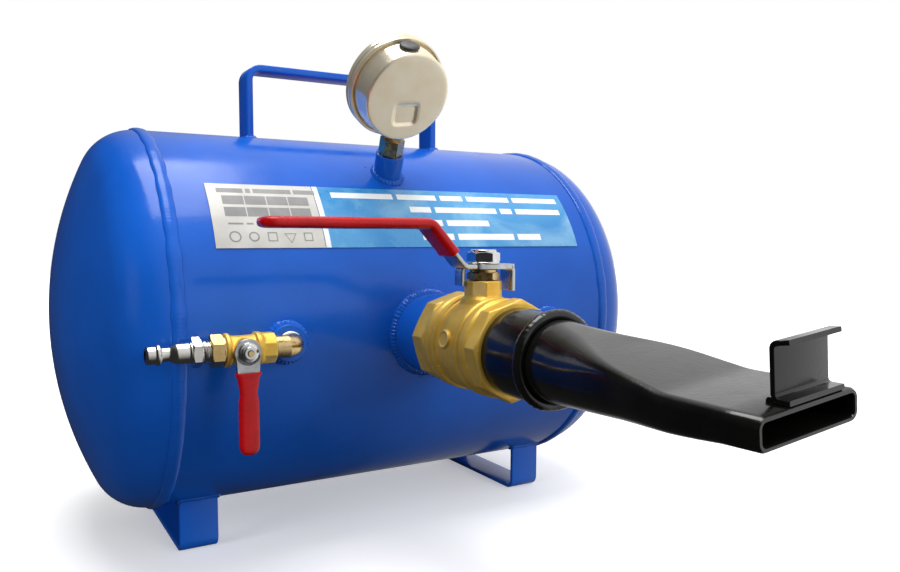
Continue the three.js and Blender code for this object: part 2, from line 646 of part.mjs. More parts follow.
// ---------------------------------------------------------------- pressure gauge
// The gauge group's z is its stem, and y is the way its dial faces. The case group's z is the dial's own axis.
const gaugePhi = degrees(GAUGE_PHI);
const gauge = group(
  [GAUGE_X, -TANK_R * Math.sin(gaugePhi), AXIS_Z + TANK_R * Math.cos(gaugePhi)],
  GAUGE_LEAN.map(degrees),
);
const gaugeCase = group([0, 0, GAUGE_RISE], [-QUARTER, 0, Math.PI], gauge);
const CASE_R = 29.8;
const BEZEL_R = 33;
const HALF_DEPTH = 11.6;
const THROAT_Y = -2;              // the socket enters the case a little behind its middle

function gaugeSocket() {
  const hexagon = rod(8.3, 17.1, GAUGE_RISE - BEZEL_R - GAP, 6, Math.PI / 6);
  const thread = rod(BOSS.bore - GAP, 4, 18, 16);
  const throat = rod(4.6, 28, GAUGE_RISE - 21, 16).translate(0, THROAT_Y, 0);
  const holder = block(13, 6, 6).translate(0, THROAT_Y, GAUGE_RISE - 22.6);
  return cut(join(hexagon, thread, throat, holder), rod(1.5, 3, 36, 8));
}

function caseShell() {
  const cup = turned([
    [0, -HALF_DEPTH], [28.2, -HALF_DEPTH], [28.8, 0.7 - HALF_DEPTH], [CASE_R, 5.3], [31.2, 5.3], [31.2, 7.2],
    [28.4, 7.2], [27.5, 1.2 - HALF_DEPTH], [0, 1.2 - HALF_DEPTH],
  ], SIDES);
  const radial = (r, y0, y1) => rod(r, y0, y1, 16).rotateX(-QUARTER);
  const throatHole = radial(4.6 + GAP, -40, -20).translate(0, 0, THROAT_Y);
  return cut(cup, throatHole, radial(4.9, 20, 40).translate(0, 0, -2.8));
}

function fillPlug() {
  return turned([[0, 24.5], [4.5, 24.5], [4.5, 29.9], [6.4, 29.9], [6.2, 31], [4.6, 31.7], [0, 32]], 16)
    .rotateX(-QUARTER).translate(0, 0, -2.8);
}

// The curved tube that straightens under pressure: an open ring of flattened section.
function bourdonTube() {
  const section = [[20.2, -7.5], [22.4, -7.5], [22.4, -2.5], [20.2, -2.5]];
  const [start, end, steps] = [-70, 200, 16];
  const stations = Array.from({ length: steps + 1 }, (_, i) => degrees(start + (end - start) * i / steps));
  const rings = stations.map((angle) =>
    section.map(([r, z]) => [r * Math.cos(angle), r * Math.sin(angle), z]));
  const index = [];
  for (let j = 0; j < steps; j++) {
    for (let i = 0; i < 4; i++) {
      const [a, b] = [4 * j + i, 4 * j + (i + 1) % 4];
      index.push(a, b, b + 4, a, b + 4, a + 4);
    }
  }
  const last = 4 * steps;
  index.push(0, 2, 1, 0, 3, 2, last, last + 1, last + 2, last, last + 2, last + 3);
  const geometry = new THREE.BufferGeometry();
  geometry.setAttribute('position', new THREE.Float32BufferAttribute(rings.flat(2), 3));
  geometry.setIndex(index);
  return closed(geometry);
}

// The needle rests at the lower left of the dial, 45 degrees past the horizontal.
function pointer() {
  const needle = plate([[-6, -1.4], [-6, 1.4], [3, 1.2], [21, 0.3], [21, -0.3], [3, -1.2]], 5, 5.7);
  const flat = join(needle, rod(3, 4.8, 6.2, 16), rod(0.9, -2.4, 5.4, 8));
  return flat.rotateZ(degrees(225));
}

add(gauge, 'gauge_boss', boss(GAUGE_BOSS_R, BOSS.bore, -8, 16.8), BLUE);
add(gauge, 'gauge_socket', gaugeSocket(), BRASS);
add(gaugeCase, 'gauge_case', caseShell(), STEEL);
add(gaugeCase, 'gauge_bezel', turned([
  [31.6, 3.2], [32.5, 3.2], [BEZEL_R, 4.2], [BEZEL_R, 10.6], [32, HALF_DEPTH], [28.8, HALF_DEPTH], [28.4, 10.9],
  [31.6, 10.7], [31.6, 3.2],
], SIDES), STEEL);
add(gaugeCase, 'gauge_gasket', ring(31.1, 28.6, 7.5, 8.1, 24), RUBBER);
add(gaugeCase, 'gauge_window', rod(31.1, 8.4, 10.3, 24), GLASS);
add(gaugeCase, 'gauge_dial', ring(26.6, 1.6, 3.2, 4, 24), WHITE);
add(gaugeCase, 'gauge_pointer', pointer(), RUBBER);
add(gaugeCase, 'gauge_bourdon_tube', bourdonTube(), BRASS);
add(gaugeCase, 'gauge_movement', cut(block(20, 15, 4.5).translate(0, 2, 0.2), rod(1.3, -4, 4, 8)), BRASS);
add(gaugeCase, 'gauge_fill_plug', fillPlug(), RUBBER);

export default part;
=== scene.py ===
"""Looks of the bead seater blaster tank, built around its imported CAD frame.

Shapes are worked out in millimetres, in the same local frames as the CAD groups, and placed in metres.
"""
import json
import random
from math import atan2, ceil, copysign, cos, degrees, exp, pi, radians, sin, sqrt, tan

import bpy
import bmesh
from mathutils import Matrix, Vector, noise


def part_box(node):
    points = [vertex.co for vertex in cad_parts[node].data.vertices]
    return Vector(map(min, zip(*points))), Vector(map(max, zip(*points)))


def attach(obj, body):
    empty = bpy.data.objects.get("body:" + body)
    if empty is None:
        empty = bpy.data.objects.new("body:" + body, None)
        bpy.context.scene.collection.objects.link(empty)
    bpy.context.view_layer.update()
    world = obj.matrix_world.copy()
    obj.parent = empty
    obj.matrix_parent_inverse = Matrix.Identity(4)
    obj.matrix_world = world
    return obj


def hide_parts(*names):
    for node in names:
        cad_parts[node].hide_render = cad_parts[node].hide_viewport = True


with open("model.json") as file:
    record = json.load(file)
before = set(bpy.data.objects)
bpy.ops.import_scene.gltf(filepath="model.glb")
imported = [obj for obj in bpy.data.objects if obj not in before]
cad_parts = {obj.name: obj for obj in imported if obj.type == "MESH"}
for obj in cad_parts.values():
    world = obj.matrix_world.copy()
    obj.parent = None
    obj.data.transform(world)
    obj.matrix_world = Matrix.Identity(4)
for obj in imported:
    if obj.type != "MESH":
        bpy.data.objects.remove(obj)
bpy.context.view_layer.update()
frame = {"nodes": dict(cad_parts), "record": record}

# ---------- places and sizes, in millimetres
MM = 0.001


def centre(node):
    """The middle of a CAD node's box, in millimetres."""
    low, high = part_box(node)
    return (Vector(low) + Vector(high)) / 2 / MM


def half_size(node):
    low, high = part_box(node)
    return (Vector(high) - Vector(low)) / 2 / MM


def box_corners(node):
    """The low and high corners of a CAD node's box, in millimetres."""
    return [Vector(corner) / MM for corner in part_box(node)]


TANK = centre("tank_shell")
TANK_R = half_size("tank_shell").y
WALL = 2.5
SEAM_X = centre("girth_weld_right").x
OUTLET = Vector((centre("outlet_stub").x, TANK.y, centre("outlet_stub").z))
STEM_REACH = TANK.y - centre("valve_stem").y
INLET = Vector((centre("inlet_boss").x, TANK.y - 143, centre("inlet_boss").z))
SPARE_X = centre("spare_boss").x
INLET_STEM = INLET.x - centre("inlet_stem").x
BOSS_END = 133
GAUGE_PHI = radians(38.96)
GAUGE_LEAN = (33.8, -7, 3.5)
GAUGE_RISE = 61.6
GAUGE_X = centre("outlet_stub").x - 6.6
BARREL_ROOT = 216
BARREL_TILT = (0.45, 0, 6.5)
MOUTH_REACH = 397.4


def turn(x=0, y=0, z=0):
    """A rotation in degrees, about X last, as the CAD groups turn."""
    return (Matrix.Rotation(radians(x), 4, "X") @ Matrix.Rotation(radians(y), 4, "Y")
            @ Matrix.Rotation(radians(z), 4, "Z"))


def at(x, y, z):
    return Matrix.Translation((x, y, z))


# Local z runs along +X for the tank, along -Y with y up for the outlet, and along -X with x up for the inlet.
TANK_FRAME = at(*TANK) @ turn(y=90)
OUTLET_FRAME = at(*OUTLET) @ turn(x=90)
BARREL_FRAME = OUTLET_FRAME @ at(0, 0, BARREL_ROOT) @ turn(*BARREL_TILT) @ at(0, 0, -BARREL_ROOT)
STEM_FRAME = at(OUTLET.x, TANK.y - STEM_REACH, OUTLET.z)
INLET_PORT_FRAME = at(INLET.x, TANK.y, INLET.z) @ turn(x=90)
SPARE_PORT_FRAME = at(SPARE_X, TANK.y, INLET.z) @ turn(x=90)
INLET_FRAME = at(*INLET) @ turn(y=-90)
INLET_STEM_FRAME = at(INLET.x - INLET_STEM, INLET.y, INLET.z) @ turn(x=90)
GAUGE_FOOT = (GAUGE_X, TANK.y - TANK_R * sin(GAUGE_PHI), TANK.z + TANK_R * cos(GAUGE_PHI))
GAUGE_FRAME = at(*GAUGE_FOOT) @ turn(*GAUGE_LEAN)
CASE_FRAME = GAUGE_FRAME @ at(0, 0, GAUGE_RISE) @ turn(x=-90, z=180)
WHOLE_FRAME = Matrix.Identity(4)


# ---------- materials
def map_range(tree, value, low, high, start, end):
    """Maps value from the range start to end onto the range low to high."""
    node = tree.nodes.new("ShaderNodeMapRange")
    for socket, number in (("From Min", start), ("From Max", end), ("To Min", low), ("To Max", high)):
        node.inputs[socket].default_value = number
    tree.links.new(value, node.inputs["Value"])
    return node.outputs["Result"]


class Graph:
    """Short calls for building one material's nodes."""

    def __init__(self, name):
        self.material = bpy.data.materials.new(name)
        self.material.use_nodes = True
        self.nodes = self.material.node_tree.nodes
        self.links = self.material.node_tree.links
        self.shader = self.nodes["Principled BSDF"]
        self.place = self.nodes.new("ShaderNodeTexCoord").outputs["Object"]

    def noise(self, scale, detail=3, distortion=0.0, roughness=0.55):
        node = self.nodes.new("ShaderNodeTexNoise")
        node.inputs["Scale"].default_value = scale
        node.inputs["Detail"].default_value = detail
        node.inputs["Distortion"].default_value = distortion
        node.inputs["Roughness"].default_value = roughness
        self.links.new(self.place, node.inputs["Vector"])
        return node.outputs["Fac"]

    def ramp(self, value, low, high, start=0.35, end=0.65):
        """A blend from the colour low to the colour high as value goes from start to end."""
        node = self.nodes.new("ShaderNodeValToRGB")
        first, last = node.color_ramp.elements
        first.position, last.position = start, end
        first.color, last.color = (*low, 1), (*high, 1)
        self.links.new(value, node.inputs["Fac"])
        return node.outputs["Color"]

    def spread(self, value, low, high, start=0.35, end=0.65):
        return map_range(self.material.node_tree, value, low, high, start, end)

    def mix(self, factor, first, second):
        node = self.nodes.new("ShaderNodeMix")
        node.data_type = "RGBA"
        self.links.new(factor, node.inputs["Factor"])
        self.links.new(first, node.inputs["A"])
        self.links.new(second, node.inputs["B"])
        return node.outputs["Result"]

    def edges(self, start=0.52, end=0.60):
        """1 on worn outer edges and 0 elsewhere."""
        node = self.nodes.new("ShaderNodeNewGeometry")
        return self.spread(node.outputs["Pointiness"], 0, 1, start, end)

    def bump(self, height, strength, distance):
        node = self.nodes.new("ShaderNodeBump")
        node.inputs["Strength"].default_value = strength
        node.inputs["Distance"].default_value = distance
        self.links.new(height, node.inputs["Height"])
        self.links.new(node.outputs["Normal"], self.shader.inputs["Normal"])

    def use(self, socket, value):
        """Links an output to a shader socket, or sets the socket's own number or colour."""
        target = self.shader.inputs[socket]
        if isinstance(value, bpy.types.NodeSocket):
            self.links.new(value, target)
        else:
            target.default_value = value


def tank_paint():
    g = Graph("tank_paint")
    broad = g.ramp(g.noise(9, 4), (0.006, 0.086, 0.46), (0.009, 0.114, 0.58))
    dust = g.ramp(g.noise(900, 2), (0, 0, 0), (1, 1, 1), 0.70, 0.78)
    pale = g.ramp(g.noise(30), (0.02, 0.13, 0.60), (0.04, 0.18, 0.66))
    g.use("Base Color", g.mix(dust, broad, pale))
    g.use("Roughness", g.spread(g.noise(60, 5), 0.14, 0.24))
    g.use("Specular IOR Level", 0.25)
    g.use("Coat Weight", 0.06)
    g.use("Coat Roughness", 0.05)
    g.bump(g.noise(420, 2), 0.10, 0.0006)
    return g.material


def black_paint():
    g = Graph("black_paint")
    g.use("Base Color", g.ramp(g.noise(40, 4), (0.003, 0.003, 0.003), (0.007, 0.007, 0.006)))
    g.use("Roughness", g.spread(g.noise(90, 5), 0.12, 0.26))
    g.use("Specular IOR Level", 0.4)
    g.use("Coat Weight", 0.3)
    g.use("Coat Roughness", 0.08)
    g.bump(g.noise(500, 3), 0.14, 0.0006)
    return g.material


def cast_brass():
    g = Graph("cast_brass")
    body = g.ramp(g.noise(70, 5), (0.72, 0.43, 0.055), (0.88, 0.58, 0.11))
    bright = g.ramp(g.noise(150), (0.86, 0.62, 0.22), (0.95, 0.72, 0.32))
    g.use("Base Color", g.mix(g.edges(0.515, 0.57), body, bright))
    g.use("Metallic", 0.55)
    g.use("Roughness", g.spread(g.noise(240, 4), 0.36, 0.50))
    g.bump(g.noise(1900, 3), 0.35, 0.0004)
    return g.material


def turned_brass():
    g = Graph("turned_brass")
    g.use("Base Color", g.ramp(g.noise(60, 4), (0.60, 0.43, 0.18), (0.76, 0.57, 0.29)))
    g.use("Metallic", 1.0)
    g.use("Roughness", g.spread(g.noise(300, 4), 0.20, 0.36))
    g.bump(g.noise(1500, 2), 0.12, 0.0003)
    return g.material


def plated(name, dark, light, rough, grain=0.10, metal=1.0):
    """A bright plated or pressed metal with faint handling marks."""
    g = Graph(name)
    g.use("Base Color", g.ramp(g.noise(80, 5), dark, light))
    g.use("Metallic", metal)
    g.use("Roughness", g.spread(g.noise(220, 5), *rough))
    g.bump(g.noise(1100, 3), grain, 0.0003)
    return g.material


def moulded(name, dark, light, rough, scale=300, grain=0.12, coat=0.0, mirror=0.5):
    """A plastic, rubber or printed surface with a fine grain."""
    g = Graph(name)
    g.use("Base Color", g.ramp(g.noise(50, 4), dark, light))
    g.use("Roughness", g.spread(g.noise(150, 4), *rough))
    g.use("Specular IOR Level", mirror)
    g.use("Coat Weight", coat)
    g.bump(g.noise(scale, 3), grain, 0.0004)
    return g.material


def info_sticker():
    """A printed sky: soft pale streaks that slant across a bright blue."""
    g = Graph("info_sticker")
    sky = g.ramp(g.noise(9, 4, 0.6), (0.02, 0.22, 0.54), (0.09, 0.36, 0.66))
    cloud = g.ramp(g.noise(22, 5, 1.5), (0.24, 0.52, 0.74), (0.38, 0.64, 0.80))
    g.use("Base Color", g.mix(g.spread(g.noise(14, 4, 1.2), 0, 0.7, 0.50, 0.72), sky, cloud))
    g.use("Roughness", g.spread(g.noise(150, 4), 0.24, 0.34))
    g.use("Coat Weight", 0.3)
    g.bump(g.noise(700, 3), 0.05, 0.0004)
    return g.material


def gauge_glass():
    g = Graph("gauge_glass")
    g.use("Base Color", (0.96, 0.98, 0.98, 1))
    g.use("Transmission Weight", 1.0)
    g.use("IOR", 1.45)
    g.use("Roughness", g.spread(g.noise(120), 0.01, 0.05))
    return g.material


LOOKS = {
    "tank_paint": tank_paint(),
    "black_paint": black_paint(),
    "cast_brass": cast_brass(),
    "turned_brass": turned_brass(),
    "gauge_glass": gauge_glass(),
    "chrome_plate": plated("chrome_plate", (0.62, 0.62, 0.62), (0.78, 0.78, 0.78), (0.08, 0.18)),
    "nickel_plate": plated("nickel_plate", (0.62, 0.60, 0.56), (0.80, 0.78, 0.74), (0.10, 0.20)),
    "zinc_plate": plated("zinc_plate", (0.42, 0.43, 0.44), (0.60, 0.61, 0.62), (0.26, 0.42), grain=0.25),
    "stainless": plated("stainless", (0.94, 0.83, 0.61), (1.0, 0.91, 0.72), (0.12, 0.24), grain=0.04,
                        metal=0.68),
    "red_vinyl": moulded("red_vinyl", (0.42, 0.003, 0.005), (0.52, 0.005, 0.008), (0.20, 0.32), scale=260,
                         grain=0.15, coat=0.15, mirror=0.25),
    "black_rubber": moulded("black_rubber", (0.030, 0.032, 0.034), (0.055, 0.057, 0.060), (0.42, 0.60)),
    "ptfe": moulded("ptfe", (0.74, 0.74, 0.71), (0.86, 0.86, 0.84), (0.45, 0.60)),
    "data_sticker": moulded("data_sticker", (0.50, 0.49, 0.46), (0.59, 0.58, 0.55), (0.28, 0.38), scale=700,
                            grain=0.05, coat=0.3),
    "info_sticker": info_sticker(),
    "dial_white": moulded("dial_white", (0.76, 0.76, 0.74), (0.86, 0.86, 0.84), (0.4, 0.5)),
    "pointer_black": moulded("pointer_black", (0.012, 0.012, 0.012), (0.03, 0.03, 0.03), (0.35, 0.5)),
}
GREY_INK = moulded("grey_ink", (0.20, 0.20, 0.20), (0.27, 0.27, 0.27), (0.35, 0.45))
WHITE_INK = moulded("white_ink", (0.78, 0.80, 0.82), (0.88, 0.90, 0.92), (0.3, 0.4))


# ---------- meshes: (points, faces) pairs in millimetres
def skin(rings, wrap=False, caps=True):
    """Joins rings of equal point counts one after another."""
    count = len(rings[0])
    points = [tuple(p) for ring in rings for p in ring]
    faces = []
    for j in range(len(rings) if wrap else len(rings) - 1):
        here, there = j * count, (j + 1) % len(rings) * count
        for i in range(count):
            k = (i + 1) % count
            faces.append((here + i, here + k, there + k, there + i))
    if caps and not wrap:
        faces.append(tuple(range(count)))
        faces.append(tuple(range(len(points) - count, len(points))))
    return points, faces


def round_angles(steps):
    return [2 * pi * i / steps for i in range(steps)]


def circle(r, z, angles):
    return [(r * cos(a), r * sin(a), z) for a in angles]


def lathe(profile, steps=96):
    """A profile of (radius, z) turned about z. It starts and ends on the axis, or closes on itself."""
    rings = [circle(r, z, round_angles(steps)) for r, z in profile]
    on_axis = profile[0][0] == 0 and profile[-1][0] == 0
    return skin(rings, wrap=not on_axis, caps=False)


def rounded(profile, radius, steps=4):
    """The same outline with each inner corner rounded."""
    points = [Vector(p) for p in profile]
    soft = [profile[0]]
    for before, corner, after in zip(points, points[1:], points[2:]):
        back, ahead = before - corner, after - corner
        reach = min(radius, back.length * 0.45, ahead.length * 0.45)
        start, end = corner + back.normalized() * reach, corner + ahead.normalized() * reach
        for i in range(steps + 1):
            t = i / steps
            soft.append(tuple(start * (1 - t) ** 2 + corner * 2 * t * (1 - t) + end * t * t))
    return soft + [profile[-1]]


def smooth(value, first, last):
    """A soft step from 0 at first to 1 at last."""
    t = min(max((value - first) / (last - first), 0), 1)
    return t * t * (3 - 2 * t)


def arc(x, y, r, first, last, steps):
    """Points about (x, y) from one angle to another, in degrees."""
    angles = [radians(first + (last - first) * i / steps) for i in range(steps + 1)]
    return [(x + r * cos(a), y + r * sin(a)) for a in angles]


def prism(outline, low, high):
    return skin([[(x, y, low) for x, y in outline], [(x, y, high) for x, y in outline]])


def many_sided(flats, sides, low, high, bore=0.0, phase=0.0):
    """A hexagon or octagon bar whose ends are chamfered by a cone, as on a machined nut."""
    angles = round_angles(sides * 12)
    half_side = pi / sides
    cone = flats * 0.985
    rings = []
    for level, inward, at_edge in ((low, 1, False), (low, 1, True), (high, -1, True), (high, -1, False)):
        ring = []
        for a in angles:
            within = (a + half_side) % (2 * half_side) - half_side
            side = flats / cos(abs(within) - half_side)
            drop = (side - cone) * 0.55 if at_edge else 0
            r = side if at_edge else cone
            ring.append((r * cos(a + phase), r * sin(a + phase), level + inward * drop))
        rings.append(ring)
    if bore:
        rings += [circle(bore, z, [a + phase for a in angles]) for z in (high, low)]
    return skin(rings, wrap=bool(bore))


def moved(mesh, matrix):
    points, faces = mesh
    return [tuple(matrix @ Vector(p)) for p in points], faces


def merged(*meshes):
    points, faces = [], []
    for more_points, more_faces in meshes:
        start = len(points)
        points.extend(more_points)
        faces.extend(tuple(start + i for i in face) for face in more_faces)
    return points, faces


def bent(corners, radius, steps=8):
    """The corners of a centreline with each inner corner turned into an arc."""
    path = [Vector(corners[0])]
    for before, corner, after in zip(corners, corners[1:], corners[2:]):
        corner = Vector(corner)
        back, ahead = (Vector(before) - corner).normalized(), (Vector(after) - corner).normalized()
        half = back.angle(ahead) / 2
        middle = corner + (back + ahead).normalized() * radius / sin(half)
        start = corner + back * radius / tan(half) - middle
        end = corner + ahead * radius / tan(half) - middle
        sweep = start.angle_signed(end)
        for i in range(steps + 1):
            path.append(middle + Matrix.Rotation(-sweep * i / steps, 2) @ start)
    return path + [Vector(corners[-1])]


def along(path):
    """Each point of a path with its direction and its mitre factor."""
    for i, point in enumerate(path):
        arriving = (point - path[max(i - 1, 0)]) if i else path[1] - point
        leaving = (path[min(i + 1, len(path) - 1)] - point) if i < len(path) - 1 else arriving
        direction = (arriving.normalized() + leaving.normalized()).normalized()
        yield point, direction, 1 / max(direction.dot(arriving.normalized()), 0.3)


def bar(path, section):
    """A solid along a path in the plane of local x and z.

    The section is a list of (up, across) points, or a function that gives one for a point's number.
    """
    rings = []
    for i, (point, direction, mitre) in enumerate(along(path)):
        ring = []
        for up, across in section(i) if callable(section) else section:
            x = point.x - direction.y * up * mitre
            z = point.y + direction.x * up * mitre
            ring.append((x, across, z))
        rings.append(ring)
    return skin(rings)


def flat_section(thick, width, soft=0.5, steps=3):
    """A rectangle with rounded corners: thickness is up, width is across."""
    h, w = thick / 2 - soft, width / 2 - soft
    corners = [(h, w, 0), (-h, w, 90), (-h, -w, 180), (h, -w, 270)]
    return [p for x, y, a in corners for p in arc(x, y, soft, a, a + 90, steps)]


def weld(path, outs, half_width, height, pitch=2.6, closed=True, seed=1, ripple=0.24):
    """A hand-laid bead: overlapping crescents along a path, with outs pointing away from the joint."""
    dense, lengths, total = [], [], 0.0
    count = len(path)
    for i in range(count if closed else count - 1):
        start, end = path[i], path[(i + 1) % count]
        steps = max(1, round((end - start).length / 0.6))
        for k in range(steps):
            t = k / steps
            dense.append((start.lerp(end, t), outs[i].lerp(outs[(i + 1) % count], t).normalized()))
            lengths.append(total + (end - start).length * t)
        total += (end - start).length
    rings = []
    for i, (point, out) in enumerate(dense):
        before = dense[i - 1][0] if closed or i else point
        after = dense[(i + 1) % len(dense)][0] if closed or i < len(dense) - 1 else point
        tangent = (after - before).normalized()
        across = tangent.cross(out).normalized()
        wander = noise.noise(Vector((lengths[i] * 0.09, seed, 0)))
        swell = 1 + 0.16 * wander
        ring = []
        for k in range(14):
            a = 2 * pi * k / 14
            side = sin(a)
            phase = (lengths[i] / pitch + 0.55 * side * side + 0.4 * wander) % 1
            lift = 1 + ripple * (0.5 - phase) if cos(a) > 0 else 1
            rise = out * (cos(a) * height * swell * lift)
            ring.append(point + rise + across * (side * half_width * swell))
        rings.append(ring)
    return skin(rings, wrap=closed)


def ring_weld(radius, z, steps, half_width, height, **bead):
    """A bead round local z."""
    outs = [Vector((cos(a), sin(a), 0)) for a in round_angles(steps)]
    path = [out * radius + Vector((0, 0, z)) for out in outs]
    return weld(path, outs, half_width, height, **bead)


def blob(point, radius):
    """A small spatter ball."""
    profile = [(0, -radius)] + [(radius * cos(radians(a)), radius * sin(radians(a)))
                                for a in (-45, 0, 45)] + [(0, radius)]
    return moved(lathe(profile, 8), at(*point))


def add_object(name, data):
    made = bpy.data.objects.new(name, data)
    bpy.context.scene.collection.objects.link(made)
    return made


def solid(name, mesh, place, slot, nodes=(), body="tank", sharp=32, bevel=0.0, look=None, cast=0.0):
    """Makes one visible piece. With cast, its solids are fused into one soft skin on voxels of that size."""
    points, faces = mesh
    data = bpy.data.meshes.new(name)
    data.from_pydata([(place @ Vector(p)) * MM for p in points], [], faces)
    work = bmesh.new()
    work.from_mesh(data)
    bmesh.ops.remove_doubles(work, verts=work.verts, dist=2e-6)
    bmesh.ops.dissolve_degenerate(work, edges=work.edges, dist=1e-6)
    bmesh.ops.recalc_face_normals(work, faces=work.faces)
    work.to_mesh(data)
    work.free()
    data.shade_smooth()
    if not cast:
        data.set_sharp_from_angle(angle=radians(sharp))
    made = add_object(name, data)
    data.materials.append(look or LOOKS[slot])
    if bevel:
        edge = made.modifiers.new("edges", "BEVEL")
        edge.width = bevel * MM
        edge.segments = 3
        edge.limit_method = "ANGLE"
        edge.angle_limit = radians(40)
        edge.harden_normals = True
    if cast:
        fuse = made.modifiers.new("fuse", "REMESH")
        fuse.mode = "VOXEL"
        fuse.voxel_size = cast * MM
        fuse.use_smooth_shade = True
        soften = made.modifiers.new("soften", "SMOOTH")
        soften.factor = 0.5
        soften.iterations = 2
    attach(made, body)
    if nodes:
        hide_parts(*nodes)
    return made


# ---------- tank, heads and girth welds
def tank_shell():
    end = SEAM_X - 0.4
    inner = TANK_R - WALL
    profile = [(TANK_R, -end), (TANK_R, end), (inner, end), (inner, -end)]
    solid("shell_skin", lathe(profile, 192), TANK_FRAME, "tank_paint", ["tank_shell"])


def head(side, name):
    """A dished head: a straight flange, a tight knuckle and a shallow crown."""
    crown_r, knuckle_r, flange = 255, 33, 1.1
    drop = sqrt((crown_r - knuckle_r) ** 2 - (TANK_R - knuckle_r) ** 2)
    tangent = degrees(atan2(TANK_R - knuckle_r, drop))
    flat = SEAM_X + flange

    def curve(offset):
        knuckle = arc(TANK_R - knuckle_r, flat, knuckle_r - offset, 0, 90 - tangent, 16)
        crown = arc(0, flat - drop, crown_r - offset, 90 - tangent, 90, 22)[1:-1]
        return knuckle + crown + [(0, flat - drop + crown_r - offset)]

    start = SEAM_X + 0.4
    profile = [(TANK_R - WALL, start), *curve(WALL)][::-1] + [(TANK_R, start), *curve(0)]
    place = TANK_FRAME if side > 0 else TANK_FRAME @ turn(x=180)
    solid(name + "_skin", lathe(profile, 192), place, "tank_paint", [name])


def girth_weld(side, name):
    bead = ring_weld(TANK_R - 0.4, side * SEAM_X, 180, 4.2, 1.9, pitch=2.3, seed=3 + side, ripple=0.09)
    solid(name + "_bead", bead, TANK_FRAME, "tank_paint", [name], sharp=60)


def tank_top(y):
    """The height of the tank's top surface at y."""
    return TANK.z + sqrt(TANK_R ** 2 - (y - TANK.y) ** 2)


def tank_underside(y):
    return 2 * TANK.z - tank_top(y) + 0.4


def collar_weld_on_tank(place, radius, bead, name, spatter, seed):
    """A bead where a round stub, boss or socket meets the tank, with spatter round it."""
    inverse = TANK_FRAME.inverted()
    path, outs, drops = [], [], []
    draw = random.Random(seed)
    axis = (place.to_3x3() @ Vector((0, 0, 1))).normalized()

    def meet(r, angle):
        """Where a line beside the stub's axis leaves the tank."""
        start = inverse @ (place @ Vector((r * cos(angle), r * sin(angle), 0)))
        step = (inverse.to_3x3() @ axis).normalized()
        a, b = step.xy.length_squared, start.xy.dot(step.xy)
        c = start.xy.length_squared - TANK_R ** 2
        reach = (-b + sqrt(b * b - a * c)) / a
        local = start + step * reach
        return TANK_FRAME @ local, (TANK_FRAME.to_3x3() @ Vector((local.x, local.y, 0))).normalized()

    for angle in round_angles(60):
        point, up = meet(radius, angle)
        side = (point - place @ Vector((0, 0, (place.inverted() @ point).z))).normalized()
        path.append(point)
        outs.append((up + side).normalized())
    for _ in range(spatter):
        point, up = meet(radius + bead * (1.0 + 2.0 * draw.random() ** 2), 2 * pi * draw.random())
        drops.append(blob(point + up * 0.05, 0.18 + 0.30 * draw.random() ** 2))
    mesh = merged(weld(path, outs, bead * 1.15, bead, pitch=2.2, seed=seed, ripple=0.42), *drops)
    solid(name, mesh, WHOLE_FRAME, "tank_paint", sharp=60)


def outlet_stub():
    back, front = 120, STEM_REACH - 34.8
    bore, radius, shoulder = 20.5, 25.4, 24.4
    profile = [(bore, back), (radius, back), (radius, front), (shoulder, front), (shoulder, 168), (bore, 168)]
    solid("outlet_stub_pipe", lathe(rounded(profile, 0.8)), OUTLET_FRAME, "tank_paint", ["outlet_stub"])
    collar_weld_on_tank(OUTLET_FRAME, radius, 3.0, "outlet_stub_weld", 110, 11)


def round_boss(name, place, radius, low, high, bead, spatter, seed):
    bore = 6.6
    profile = rounded([(bore, low), (radius, low), (radius, high), (bore + 1, high), (bore, high - 1)], 0.8)
    solid(name + "_turned", lathe(profile, 64), place, "tank_paint", [name])
    collar_weld_on_tank(place, radius, bead, name + "_weld", spatter, seed)


# ---------- feet and handle
def strap_weld(name, outline, height_at, bead, seed):
    """A bead round the foot of a strap, laid on the tank."""
    path, outs = [], []
    middle = Vector((sum(x for x, y in outline), sum(y for x, y in outline), 0)) / len(outline)
    for x, y in outline:
        z = height_at(y)
        path.append(Vector((x, y, z)))
        away = Vector((x, y, 0)) - middle
        normal = Vector((0, y - TANK.y, z - TANK.z)).normalized()
        outs.append((normal + away.normalized() * 0.8).normalized())
    solid(name, weld(path, outs, bead * 1.2, bead, pitch=2.2, seed=seed), WHOLE_FRAME, "tank_paint", sharp=60)


def box_outline(x0, x1, y0, y1, steps=8):
    """A rectangle as closely spaced points."""
    corners = [(x0, y0), (x1, y0), (x1, y1), (x0, y1)]
    outline = []
    for (ax, ay), (bx, by) in zip(corners, corners[1:] + corners[:1]):
        outline.extend((ax + (bx - ax) * i / steps, ay + (by - ay) * i / steps) for i in range(steps))
    return outline


def foot(name):
    """A U-shaped strap: two uprights and a flat sole."""
    low, high = box_corners(name)
    thick, bend = 3, 6.5
    width = high.x - low.x
    middle_x = (low.x + high.x) / 2
    reach = (high.y - low.y) / 2 - thick / 2
    top = TANK.z - sqrt(TANK_R ** 2 - reach ** 2) + 1.5
    path = bent([(-reach, top), (-reach, thick / 2), (reach, thick / 2), (reach, top)], bend)
    section = flat_section(thick, width, 0.6)
    place = at(middle_x, TANK.y, 0) @ turn(z=90)
    solid(name + "_strap", bar(path, section), place, "tank_paint", [name])
    for end, y in (("front", TANK.y - reach), ("back", TANK.y + reach)):
        outline = box_outline(low.x, high.x, y - thick / 2, y + thick / 2)
        strap_weld(f"{name}_{end}_weld", outline, tank_underside, 1.9, 21)


